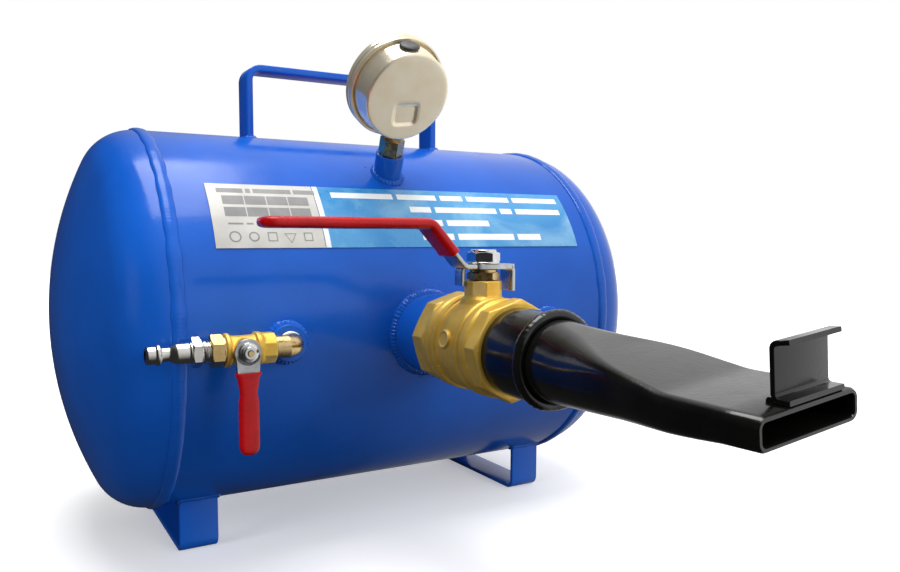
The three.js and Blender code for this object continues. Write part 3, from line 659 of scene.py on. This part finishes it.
def carry_handle():
    low, high = box_corners("carry_handle")
    thick, bend = 5, 9
    reach = (high.x - low.x) / 2 - thick / 2
    y = (low.y + high.y) / 2
    level, foot_z = high.z - thick / 2, tank_top(y) - 2
    path = bent([(-reach, foot_z), (-reach, level), (reach, level), (reach, foot_z)], bend, 12)
    section = flat_section(thick, high.y - low.y, 0.9)
    middle_x = (low.x + high.x) / 2
    solid("carry_handle_bar", bar(path, section), at(middle_x, y, 0), "tank_paint", ["carry_handle"])
    for end, x in (("left", middle_x - reach), ("right", middle_x + reach)):
        outline = box_outline(x - thick / 2, x + thick / 2, low.y, high.y)
        strap_weld(f"carry_handle_{end}_weld", outline, tank_top, 2.6, 31)


# ---------- labels, with plain bars in place of print
LABEL_LOW, LABEL_HIGH = radians(46.3), radians(66.9)
LABEL_HEIGHT = (LABEL_HIGH - LABEL_LOW) * TANK_R
SHEET_UNDER, SHEET_TOP, INK_TOP = 0.3, 0.6, 0.66


def on_label(x, s, lift):
    """A point on the label: x along the tank, s up from its lower edge, both in millimetres."""
    phi = LABEL_HIGH - s / TANK_R
    r = TANK_R + lift
    return (x, TANK.y - r * sin(phi), TANK.z + r * cos(phi))


def patch(x0, x1, s0, s1, low, high, steps=10):
    rings = []
    for i in range(steps + 1):
        s = s0 + (s1 - s0) * i / steps
        rings.append([on_label(x, s, lift) for x, lift in ((x0, low), (x1, low), (x1, high), (x0, high))])
    return skin(rings)


def frame_patch(x, s, sides, radius, line, phase=0.0):
    """A ring, square or triangle outline printed on the label."""
    rings = []
    for r, lift in ((radius, 0.62), (radius, 0.68), (radius - line, 0.68), (radius - line, 0.62)):
        angles = [2 * pi * (i + phase) / sides for i in range(sides)]
        rings.append([on_label(x + r * cos(a), s + r * sin(a), lift) for a in angles])
    return skin(rings, wrap=True)


def data_plate():
    low, high = box_corners("data_plate")
    left = low.x
    sheet = patch(left, high.x, 0, LABEL_HEIGHT, SHEET_UNDER, SHEET_TOP, 24)
    solid("data_plate_sheet", sheet, WHOLE_FRAME, "data_sticker", ["data_plate"])
    prints = []
    edge = left + 6
    for length in (16, 3, 24, 14):
        prints.append(patch(edge, edge + length, 38.5, 42, SHEET_TOP, INK_TOP))
        edge += length + 1.6
    for row, s in enumerate((29.5, 20.8)):
        for column in range(4):
            x = left + 8.2 + column * 13.6
            prints.append(patch(x, x + 12.9, s, s + 6.6, SHEET_TOP, INK_TOP))
    edge = left + 9
    for length in (9, 4, 14):
        prints.append(patch(edge, edge + length, 15.2, 16.4, SHEET_TOP, INK_TOP))
        edge += length + 2
    icons = ((24, 3.6, 0), (24, 3.2, 0), (4, 4.2, 0.5), (3, 4.4, 0.25), (4, 4.0, 0.5))
    for i, (sides, radius, phase) in enumerate(icons):
        prints.append(frame_patch(left + 12 + i * 11.2, 7.2, sides, radius, 0.9, phase))
    solid("data_plate_print", merged(*prints), WHOLE_FRAME, "data_sticker", look=GREY_INK)


def info_label():
    low, high = box_corners("info_label")
    left, right = low.x + 3.4, high.x
    sheet = patch(low.x, right, 0, LABEL_HEIGHT, SHEET_UNDER, SHEET_TOP, 24)
    solid("info_label_sheet", sheet, WHOLE_FRAME, "info_sticker", ["info_label"])
    prints = [patch(low.x, left, 0, LABEL_HEIGHT, SHEET_TOP, 0.64, 24)]
    rows = ((left + 8, 36.5, (44, 30, 18, 36, 40)), (left + 62, 26, (16, 50, 10, 40)),
            (left + 62, 15.5, (22, 34)), (left + 66, 5, (24, 46, 20)))
    for start, s, words in rows:
        x = start
        for word in words:
            prints.append(patch(x, min(x + word, right - 4), s, s + 4.6, SHEET_TOP, INK_TOP, 6))
            x += word + 3.4
    solid("info_label_print", merged(*prints), WHOLE_FRAME, "info_sticker", look=WHITE_INK)


# ---------- main valve
OCTAGON_FLATS = 26.6
OCTAGON_TURN = radians(-6)
VALVE_BACK, VALVE_FRONT = STEM_REACH - 34.5, STEM_REACH + 34.5
SPLIT = 205


def valve_body():
    end = VALVE_BACK + 13
    ribs = [(0, end - 4), (26.4, end - 4), (26.4, end - 1), (28.1, end + 2), (28.1, 173.5), (26.6, 175.2),
            (26.6, 176.6), (28.2, 177.2), (28.2, 179.6), (26.3, 180.4), (27.3, STEM_REACH), (26.3, 198.8),
            (26.6, 200.4), (28.2, 201.2), (28.2, 203.6), (27.2, 204.9), (0, 204.9)]
    neck = many_sided(10.2, 8, 18, 37, phase=pi / 8)
    shoulder = lathe([(0, 20), (14.5, 20), (12.4, 26.5), (10.2, 28.5), (0, 28.5)], 64)
    upright = [moved(mesh, at(0, 0, STEM_REACH) @ turn(x=-90)) for mesh in (neck, shoulder)]
    pad = lathe([(0, 24), (5.2, 24), (5.2, 28.3), (4.9, 28.5), (4.3, 28.5), (4.0, 27.9), (0, 27.9)], 40)
    pad = moved(pad, at(0, 0, STEM_REACH + 1.5) @ turn(z=-10) @ turn(y=-90))
    octagon = many_sided(OCTAGON_FLATS, 8, VALVE_BACK, end, phase=OCTAGON_TURN)
    solid("valve_body_casting", merged(lathe(ribs), octagon, *upright, pad), OUTLET_FRAME, "cast_brass",
          ["valve_body"], cast=0.45)


def valve_end():
    start = VALVE_FRONT - 11
    flare = [(0, SPLIT + 0.4), (27.2, SPLIT + 0.4), (28.1, SPLIT + 2), (28.1, start - 2), (26.4, start + 1),
             (26.4, start + 4), (0, start + 4)]
    octagon = many_sided(OCTAGON_FLATS, 8, start, VALVE_FRONT, phase=OCTAGON_TURN)
    solid("valve_end_casting", merged(lathe(flare), octagon), OUTLET_FRAME, "cast_brass", ["valve_end"],
          cast=0.45)


LEVER = {"low": 43.8, "thick": 2.6, "width": 14.6, "tip": -130.8, "knee": 15.8, "shoulder": 37.8, "rise": 24}


def lever_path(first, last):
    level = LEVER["low"] + LEVER["thick"] / 2
    high = level + LEVER["rise"]
    return bent([(first, level), (-LEVER["knee"], level), (-LEVER["shoulder"], high), (last, high)], 6, 8)


def lever():
    """The plated strip with its two stop tabs; the sleeve hides the rest of it."""
    thick, width, low = LEVER["thick"], LEVER["width"], LEVER["low"]
    arm = bar(lever_path(12, LEVER["tip"] + 12), flat_section(thick, width, 0.6))
    outline = rounded([(0, -9), (-9, -8), (-13.9, 0), (-13.9, 10), (-6, 12), (8, 12), (14, 6), (18.5, 6),
                       (18.5, -6), (14, -6), (8, -10), (0, -9)], 3)
    head = prism(outline[:-1], low, low + thick)
    level = low + 1.3
    right = bar(bent([(12, level), (17.2, level), (17.2, low - 13)], 3, 6), flat_section(thick, 12, 0.6))
    left = bar(bent([(-7, level), (-12.6, level), (-12.6, low - 9.6)], 3, 6), flat_section(thick, 8, 0.6))
    solid("valve_lever_plate", merged(arm, head, right, moved(left, at(0, 5, 0))), STEM_FRAME, "zinc_plate",
          ["valve_lever"], body="main_lever")


def soft_section(thick, width, steps=28):
    """A plump flat bar's section."""
    ring = []
    for a in round_angles(steps):
        up, across = cos(a), sin(a)
        ring.append((thick / 2 * copysign(abs(up) ** 0.7, up),
                     width / 2 * copysign(abs(across) ** 0.42, across)))
    return ring


def finer(path, step):
    """The same path with points no further apart than step."""
    dense = [path[0]]
    for start, end in zip(path, path[1:]):
        count = max(1, ceil((end - start).length / step))
        dense.extend(start.lerp(end, i / count) for i in range(1, count + 1))
    return dense


def lever_sleeve():
    """Dipped vinyl: plump, with a rolled lip at its open end and a round tip."""
    full = finer(lever_path(0, LEVER["tip"] - 1.6), 1.2)
    start = next(i for i, p in enumerate(full) if p.x < -LEVER["knee"] - 7.0)
    path = full[start:]
    lengths = [0.0]
    for before, after in zip(path, path[1:]):
        lengths.append(lengths[-1] + (after - before).length)
    total = lengths[-1]

    def section(i):
        to_tip, from_lip = total - lengths[i], lengths[i]
        blunt = sqrt(max(0.0, 1 - (1 - min(to_tip / 7.5, 1)) ** 2)) or 0.04
        thin = sqrt(max(0.0, 1 - (1 - min(to_tip / 6.0, 1)) ** 2)) ** 0.8 or 0.04
        lip = 1 + 0.07 * exp(-((from_lip - 0.9) / 0.8) ** 2)
        swell = 1 + 0.02 * sin(lengths[i] * 0.11)
        return soft_section(6.1 * thin * lip * swell, (LEVER["width"] + 3.4) * (0.25 + 0.75 * blunt) * lip)

    solid("valve_lever_grip", bar(path, section), STEM_FRAME, "red_vinyl", ["valve_lever_sleeve"],
          body="main_lever", sharp=60)


def flange_nut(name, place, body, node, flats, low, high, bore, flange, stud):
    """A plated hexagon nut with a thin round flange, and the threaded stud end inside it."""
    crown = (high - low) * 0.18
    nut = many_sided(flats, 6, low + 0.8, high - crown, bore, phase=pi / 6)
    washer = lathe(rounded([(bore, low), (flange, low), (flange, low + 1), (bore, low + 1.8)], 0.4), 64)
    below = high - crown - 0.5
    top = lathe(rounded([(bore, below), (flats * 0.93, below), (flats * 0.9, high - 0.3), (flats * 0.8, high),
                         (bore, high)], 0.4), 64)
    solid(name, merged(nut, washer, top), place, "chrome_plate", [node], body=body)
    solid(name + "_stud", thread(bore - 0.25, low - 1, stud, 1.25), place, "chrome_plate", body=body)


def thread(radius, low, high, pitch, bore=0.0):
    """A threaded rod or pipe, its thread drawn as close rings."""
    root = radius - pitch * 0.5
    profile = [(bore, low), (root, low)]
    z = low + pitch / 2
    while z < high - pitch / 2:
        profile += [(root, z - pitch * 0.42), (radius, z - pitch * 0.06), (radius, z + pitch * 0.06)]
        z += pitch
    profile += [(root, high - 0.2), (root - 0.4, high), (bore, high)]
    return lathe(profile, 48)


def packing_nut():
    mesh = merged(many_sided(8.3, 6, 37.3, 42, 4.6, phase=pi / 6),
                  lathe(rounded([(4.6, 41.5), (7.9, 41.5), (7.9, 43.4), (4.6, 43.4)], 0.3), 64))
    solid("valve_packing_hexagon", mesh, STEM_FRAME, "turned_brass", ["valve_packing_nut"])


# ---------- barrel and hook
PIPE_R, TUBE_R, TUBE_WALL = 24.15, 21.2, 2.4
MOUTH_WIDTH, MOUTH_HEIGHT, MOUTH_CORNER = 56, 13.2, 4.4
PRESS_START, PRESS_END, UNDERSIDE_DELAY = 262, 352, 34


def collar():
    profile = rounded([(TUBE_R + 0.4, 210), (PIPE_R, 210), (PIPE_R, 254), (TUBE_R + 0.4, 254)], 0.8)
    solid("barrel_collar_pipe", lathe(profile), BARREL_FRAME, "black_paint", ["barrel_collar"])
    bead = ring_weld(23.3, 255.6, 120, 3.4, 2.9, pitch=3.4, seed=9, ripple=0.10)
    solid("barrel_collar_bead", bead, BARREL_FRAME, "black_paint", ["collar_weld"], sharp=60)


def barrel_section(z, inset, steps=24):
    """A round tube pressed flat towards its mouth: a rectangle whose corners start as the full round.

    The underside is pressed more slowly than the top, and its corners get sharp later.
    """
    press = min(max((z - PRESS_START) / (PRESS_END - PRESS_START), 0), 1)
    slow_press = min(max((z - PRESS_START) / (PRESS_END + UNDERSIDE_DELAY - PRESS_START), 0), 1)
    half_w = TUBE_R + (MOUTH_WIDTH / 2 - TUBE_R) * press
    top, underside = (TUBE_R + (MOUTH_HEIGHT / 2 - TUBE_R) * amount for amount in (press, slow_press))
    sharp_top, sharp_underside = smooth(z, 280, 330), smooth(z, 318, 390)
    ring = []
    for cx, cy, start in ((1, 1, 0), (-1, 1, 90), (-1, -1, 180), (1, -1, 270)):
        half_h, sharpen = (top, sharp_top) if cy > 0 else (underside, sharp_underside)
        corner = max(min(half_w, half_h) * (1 - sharpen) + MOUTH_CORNER * sharpen - inset, 0.8)
        x, y = cx * (half_w - inset - corner), cy * (half_h - inset - corner)
        ring += arc(x, y, corner, start, start + 90, steps)
    dip = 1.9 * exp(-((z - 303) / 8) ** 2)
    points = []
    for x, y in ring:
        dimple = dip * exp(-((x - 4) / 7) ** 2) if abs(y) > top * 0.6 else 0
        points.append((x, y - copysign(dimple, y), z))
    return points


def barrel():
    stations = [226, 262] + [262 + 4 * i for i in range(1, 25)] + [368, 380, MOUTH_REACH - 1.0]
    rings = [barrel_section(z, 0) for z in stations]
    rings += [barrel_section(MOUTH_REACH, 0.7), barrel_section(MOUTH_REACH, TUBE_WALL - 0.5)]
    rings += [barrel_section(z, TUBE_WALL) for z in reversed(stations)]
    tube = skin(rings, wrap=True)
    solid("barrel_pressed_tube", tube, BARREL_FRAME, "black_paint", ["barrel_tube"], sharp=40)


def rim_hook():
    """A channel folded from strip, welded on the barrel just behind its mouth and open to the front."""
    thick, width = 2, 31
    base = MOUTH_HEIGHT / 2 + 0.3 + thick / 2
    top = base + 20.6
    web = MOUTH_REACH - 7.5
    corners = [(MOUTH_REACH - 0.5, base), (web, base), (web, top), (MOUTH_REACH - 0.8, top + 0.8)]
    path = finer(bent(corners, 2.4, 8), 2)
    tip = len(path) - 1

    def section(i):
        narrow = 1.6 if i >= tip - 1 else 0
        return flat_section(thick, width - narrow, 0.5)

    along_barrel = Matrix(((0, 1, 0, 0), (0, 0, 1, 0), (1, 0, 0, 0), (0, 0, 0, 1)))
    place = BARREL_FRAME @ at(5, 0, 0) @ along_barrel
    solid("rim_hook_channel", bar(path, section), place, "black_paint", ["rim_hook"])
    edge = [Vector((x, base - thick / 2, web - 1.2)) for x in (-10, -4, 3, 10, 17, 20.5)]
    outs = [Vector((0, 0.7, -0.7))] * len(edge)
    bead = weld(edge, outs, 2.0, 1.8, pitch=2.4, closed=False, seed=14)
    solid("rim_hook_weld", bead, BARREL_FRAME, "black_paint", sharp=60)


# ---------- inlet line
def inlet_elbow():
    outer, bend = 6.5, 6.6
    rings = []
    for i in range(13):
        a = radians(90 * i / 12)
        middle = Vector((0, bend * (1 - sin(a)), bend * (1 - cos(a))))
        out = Vector((0, -sin(a), -cos(a)))
        rings.append([middle + (Vector((cos(t), 0, 0)) + out * sin(t)) * outer
                      for t in round_angles(48)])
    to_boss = moved(lathe(rounded([(0, 4), (outer, 4), (outer, 9.5), (0, 9.5)], 0.4), 48), turn(x=-90))
    socket = lathe(rounded([(0, 4), (outer, 4), (outer, 13.2), (0, 13.2)], 0.4), 48)
    solid("inlet_elbow_bend", merged(skin(rings), to_boss, socket), INLET_FRAME, "turned_brass",
          ["inlet_elbow"], cast=0.4)
    tape = lathe(rounded([(6.4, 8.0), (7.1, 8.4), (7.3, 9.2), (6.9, 9.9), (6.4, 9.9)], 0.3), 64)
    solid("inlet_thread_tape", moved(tape, turn(x=-90)), INLET_FRAME, "ptfe")


def inlet_valve():
    ribs = [(0, 20), (8.6, 20), (9.4, 21.8), (9.4, 24.0), (8.0, 24.8), (7.8, 31.7), (8.0, 38.4), (9.4, 39.0),
            (9.4, 41.0), (8.2, 41.5), (0, 41.5)]
    bonnet = moved(lathe([(0, 0), (6.7, 0), (6.7, 10.0), (5.9, 10.8), (0, 10.8)], 48),
                   at(0, 0, INLET_STEM) @ turn(x=90))
    octagon = many_sided(8.4, 8, 13.3, 21.6, phase=pi / 8)
    solid("inlet_valve_casting", merged(lathe(ribs, 64), octagon, bonnet), INLET_FRAME, "cast_brass",
          ["inlet_valve_body"], cast=0.36)
    hexagon = many_sided(7.9, 6, 41.9, 49, 6.6)
    rim = lathe(rounded([(6.6, 41.5), (8.1, 41.5), (8.1, 42.6), (6.6, 42.6)], 0.2), 64)
    solid("inlet_valve_hexagon", merged(hexagon, rim), INLET_FRAME, "turned_brass", ["inlet_valve_end"])


def coupler_plug():
    """A quick-coupler plug: thread, hexagon, shoulder, neck for the coupler's balls, and tip."""
    bore = 3.3
    body = rounded([(bore, 53), (6.3, 53), (6.3, 59.4), (5.8, 60.2), (5.8, 66.6), (5.0, 68.2), (3.9, 70.2),
                    (3.9, 74.4), (5.8, 74.9), (5.8, 76.6), (5.0, 77.1), (5.0, 81.3), (4.4, 82.1),
                    (bore, 82.1)], 0.5)
    parts = [thread(6.5, 44.5, 53.6, 1.34, bore), many_sided(7.3, 6, 54, 58.8, bore), lathe(body, 64)]
    solid("coupler_plug_body", merged(*parts), INLET_FRAME, "nickel_plate", ["coupler_plug"])


SMALL_BACK, SMALL_THICK = 11.8, 2
SMALL_WIDTHS = ((-10, 6.2), (-17, 4.6), (-22, 3.8), (-27, 4.6), (-50.6, 4.7))


def small_lever():
    """A round head and a waisted blade that hangs from it, on the half widths above."""
    front = SMALL_BACK + SMALL_THICK
    crown = lathe([(0, SMALL_BACK), (7.4, SMALL_BACK), (7.4, front), (0, front)], 72)
    right = [(6.8, -1)] + [(x, y) for y, x in SMALL_WIDTHS]
    left = [(-x, y) for x, y in reversed(right)]
    tip_y, tip_r = SMALL_WIDTHS[-1]
    blade = prism(right + arc(0, tip_y, tip_r, 0, -180, 16)[1:-1] + left, SMALL_BACK, front)
    solid("inlet_lever_blade", merged(crown, blade), INLET_STEM_FRAME, "zinc_plate", ["inlet_lever"],
          body="inlet_lever", bevel=0.3)


def small_grip():
    """Dipped vinyl on the small lever: layers of its outline, plump at the middle."""
    middle, depth = SMALL_BACK + SMALL_THICK / 2, 4.6
    tip_y, tip_r = SMALL_WIDTHS[-1]
    heights = (-11, -11.6, -13, -15.5, -18, -20.5, -23, -25.5, -28, -32, -38, -44, -48, -50.5, -52.6, -54,
               -55, -55.7, -56.1)

    def half_width(y):
        for (y0, w0), (y1, w1) in zip(SMALL_WIDTHS, SMALL_WIDTHS[1:]):
            if y >= y1:
                return w0 + (w1 - w0) * smooth(y, y0, y1)
        return tip_r * sqrt(max(0.02, 1 - ((tip_y - y) / 5.7) ** 2))

    rings = []
    for y in heights:
        lip = 1 + 0.08 * exp(-((y + 11.8) / 0.7) ** 2)
        blunt = sqrt(max(0.03, 1 - max(0, (-53.4 - y) / 2.8) ** 2))
        width = (half_width(y) + 0.9) * 2 * lip
        rings.append([(across, y, middle + up) for up, across in soft_section(depth * blunt * lip, width)])
    solid("inlet_lever_grip", skin(rings), INLET_STEM_FRAME, "red_vinyl", ["inlet_lever_sleeve"],
          body="inlet_lever", sharp=60)


def spare_plug():
    head_part = many_sided(8, 6, BOSS_END + 0.4, 140)
    solid("spare_plug_hexagon", merged(head_part, thread(6.4, 124, BOSS_END + 1, 1.34)), SPARE_PORT_FRAME,
          "turned_brass", ["spare_plug"])


# ---------- gauge
BEZEL_R, CASE_R, HALF_DEPTH = 33, 29.8, 11.6


def gauge_stem():
    parts = [many_sided(7.2, 6, 17.4, GAUGE_RISE - BEZEL_R - 0.2, phase=pi / 6), thread(6.3, 5, 18, 1.3)]
    solid("gauge_stem_hexagon", merged(*parts), GAUGE_FRAME, "turned_brass", ["gauge_socket"])


def gauge_case():
    """A pressed cup with a rounded edge and a square dimple in its back, where the movement is fixed."""
    angles, back, flat_r = round_angles(160), -HALF_DEPTH, 27.2

    def square_loop(half_x, half_y, z, soft):
        loop = []
        for a in angles:
            c, s = cos(a), sin(a)
            x, y = half_x * copysign(abs(c) ** soft, c), half_y * copysign(abs(s) ** soft, s)
            loop.append((x, y - 11.5, z))
        return loop

    rings = [square_loop(k * 6.6, k * 5.6, back + 1.5, 0.32) for k in (0.02, 0.5, 0.97, 1.0)]
    rings += [square_loop(7.3, 6.3, back + 1.2, 0.34), square_loop(8.2, 7.2, back + 0.25, 0.36)]
    rim = square_loop(8.7, 7.7, back, 0.4)
    rings.append(rim)
    for t in (0.1, 0.35, 0.65, 0.9):
        rings.append([(x * (1 - t) + flat_r * cos(a) * t, y * (1 - t) + flat_r * sin(a) * t, back)
                      for (x, y, _), a in zip(rim, angles)])
    outside = ((flat_r, back), (27.9, back + 0.1), (28.5, back + 0.5), (28.9, back + 1.3), (CASE_R, 4.6),
               (30.3, 5.1), (31.3, 5.3), (31.4, 5.6), (31.4, 7.0), (28.6, 7.0), (27.9, back + 3),
               (27, back + 2.2), (0.1, back + 2.2))
    rings += [circle(r, z, angles) for r, z in outside]
    solid("gauge_case_pressing", skin(rings), CASE_FRAME, "stainless", ["gauge_case"], sharp=42)


def gauge_bezel():
    profile = rounded([(31.5, 3.1), (32.6, 3.1), (BEZEL_R, 4.0), (BEZEL_R, 5.6), (32.4, 6.0), (32.4, 6.7),
                       (BEZEL_R, 7.1), (BEZEL_R, 10.7), (32, HALF_DEPTH), (28.9, HALF_DEPTH), (28.3, 10.7),
                       (31.5, 10.5)], 0.35)
    solid("gauge_bezel_ring", lathe(profile, 160), CASE_FRAME, "stainless", ["gauge_bezel"], sharp=40)


def gauge_fill_plug():
    profile = rounded([(0, 26), (4.5, 26), (4.5, 29.6), (6.5, 29.9), (6.3, 30.9), (4.8, 31.7), (0, 32)], 0.6)
    place = CASE_FRAME @ at(0, 0, -2.8) @ turn(x=-90)
    solid("gauge_fill_stopper", lathe(profile, 64), place, "black_rubber", ["gauge_fill_plug"])


def dial_print():
    """Ticks and plain numbers on the dial, from lower left round to lower right."""
    first, sweep, tick_r = 225, 270, 25
    ticks = []
    for i in range(61):
        length, width = (4.2, 0.55) if i % 10 == 0 else (2.8, 0.35) if i % 5 == 0 else (1.7, 0.22)
        inner, half = tick_r - length, width / 2
        tick = prism([(inner, -half), (tick_r, -half), (tick_r, half), (inner, half)], 4.02, 4.12)
        ticks.append(moved(tick, turn(z=first - sweep * i / 60)))
    solid("gauge_dial_ticks", merged(*ticks), CASE_FRAME, "pointer_black")
    for i in range(7):
        a = radians(first - sweep * i / 6)
        curve = bpy.data.curves.new(f"gauge_number_{i}", "FONT")
        curve.body = str(2 * i)
        curve.size = 4.6 * MM
        curve.extrude = 0.05 * MM
        curve.align_x = curve.align_y = "CENTER"
        curve.materials.append(LOOKS["pointer_black"])
        number = add_object(f"gauge_number_{i}", curve)
        spot = CASE_FRAME @ at(17.4 * cos(a), 17.4 * sin(a), 4.1)
        to_metres = Matrix.Diagonal((MM, MM, MM, 1))
        number.matrix_world = to_metres @ spot @ Matrix.Diagonal((1 / MM, 1 / MM, 1 / MM, 1))
        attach(number, "tank")


# ---------- the CAD pieces that stay as they are
def dress_cad_nodes():
    """Inner and small pieces keep their CAD shape and get their material."""
    slots = {entry["node"]: entry["material_slot"] for entry in frame["record"]["subparts"]}
    for node, made in frame["nodes"].items():
        for place in made.material_slots:
            place.material = LOOKS[slots[node]]


# ---------- floor, light and camera
ROOM_BRIGHT_SIDE = (0.87, -0.20, 0.45)
ROOM_DARK, ROOM_BRIGHT = 0.03, 1.0


def glowing_floor_paper():
    """White paper with a painted glow: dim near the tank and rising away from it until it fades into the
    white background.
    """
    g = Graph("glowing_floor_paper")
    g.use("Base Color", g.ramp(g.noise(3), (0.90, 0.90, 0.90), (0.918, 0.918, 0.918)))
    g.use("Roughness", 0.9)
    # Painted light: the floor glows though it is no lamp, weakly near the tank and fully white about 1.5 m
    # away.
    g.use("Emission Color", (1.0, 1.0, 1.0, 1))
    distance = g.nodes.new("ShaderNodeVectorMath")
    distance.operation = "LENGTH"
    g.links.new(g.place, distance.inputs[0])
    g.use("Emission Strength", g.spread(distance.outputs["Value"], 0.36, 1.0, 0.6, 1.5))
    return g.material


def studio():
    """A white floor that glows with painted light, a white background, a room that is bright above and to the
    right, and three soft lamps.
    """
    bpy.ops.mesh.primitive_plane_add(size=8, location=(0, 0, 0))
    floor = bpy.context.object
    floor.name = "floor"
    floor.data.materials.append(glowing_floor_paper())
    floor.visible_glossy = False
    floor.visible_diffuse = False
    world = bpy.data.worlds.new("studio")
    bpy.context.scene.world = world
    world.use_nodes = True
    tree = world.node_tree
    sky = tree.nodes["Background"]
    sky.inputs["Color"].default_value = (1.0, 1.0, 1.0, 1)
    direction = tree.nodes.new("ShaderNodeTexCoord")
    facing = tree.nodes.new("ShaderNodeVectorMath")
    facing.operation = "DOT_PRODUCT"
    facing.inputs[1].default_value = ROOM_BRIGHT_SIDE
    tree.links.new(direction.outputs["Generated"], facing.inputs[0])
    room = map_range(tree, facing.outputs["Value"], ROOM_DARK, ROOM_BRIGHT, -0.1, 0.6)
    rays = tree.nodes.new("ShaderNodeLightPath")
    seen = tree.nodes.new("ShaderNodeMix")
    seen.inputs["B"].default_value = 1.0
    tree.links.new(rays.outputs["Is Camera Ray"], seen.inputs["Factor"])
    tree.links.new(room, seen.inputs["A"])
    tree.links.new(seen.outputs["Result"], sky.inputs["Strength"])
    lamps = (
        ("top_softbox", (-0.1, 0.0, 1.6), (1.2, 0.8), 20, (0, 0, 0.15), True),
        ("front_left_fill", (-1.8, -0.5, 0.6), (0.8, 0.8), 14, (-0.1, 0, 0.15), False),
        ("front_right_fill", (0.5, -1.7, 0.7), (0.8, 0.8), 8, (0, -0.1, 0.12), False),
    )
    for name, spot, (width, height), power, aim, mirrored in lamps:
        light = bpy.data.lights.new(name, "AREA")
        light.shape = "RECTANGLE"
        light.size, light.size_y = width, height
        light.energy = power
        lamp = add_object(name, light)
        lamp.location = spot
        lamp.visible_glossy = mirrored
        lamp.rotation_euler = (Vector(aim) - Vector(spot)).to_track_quat("-Z", "Y").to_euler()
    bpy.context.scene.view_settings.view_transform = "Standard"


def camera():
    """Low, in front of the tank's left end, looking 30 degrees to the right."""
    lens = bpy.data.cameras.new("camera")
    lens.sensor_width = 36
    lens.lens = 31.4
    lens.shift_x, lens.shift_y = 0.0197, 0.0196
    lens.clip_start = 0.01
    view = add_object("camera", lens)
    view.location = (-0.2470, -0.4309, 0.2081)
    view.rotation_euler = (radians(90 - 5.02), radians(-0.17), radians(-30.03))
    bpy.context.scene.camera = view


# ---------- the whole object
dress_cad_nodes()
tank_shell()
for direction, ending in ((1, "right"), (-1, "left")):
    head(direction, "head_" + ending)
    girth_weld(direction, "girth_weld_" + ending)
    foot("foot_" + ending)
carry_handle()
data_plate()
info_label()
outlet_stub()
valve_body()
valve_end()
packing_nut()
lever()
lever_sleeve()
flange_nut("valve_lever_hexagon", STEM_FRAME, "main_lever", "valve_lever_nut", flats=8.3, low=46.7, high=54.8,
           bore=4.3, flange=9.6, stud=54.2)
collar()
barrel()
rim_hook()
round_boss("inlet_boss", INLET_PORT_FRAME, 11, 120, BOSS_END, bead=2.3, spatter=34, seed=12)
round_boss("spare_boss", SPARE_PORT_FRAME, 11, 120, BOSS_END, bead=2.3, spatter=20, seed=13)
round_boss("gauge_boss", GAUGE_FRAME, 9.5, -8, 16.8, bead=2.2, spatter=26, seed=17)
inlet_elbow()
inlet_valve()
coupler_plug()
small_lever()
small_grip()
flange_nut("inlet_lever_hexagon", INLET_STEM_FRAME, "inlet_lever", "inlet_lever_nut", flats=4, low=14.1,
           high=18.4, bore=1.9, flange=5.4, stud=19.3)
spare_plug()
gauge_stem()
gauge_case()
gauge_bezel()
gauge_fill_plug()
dial_print()
studio()
camera()
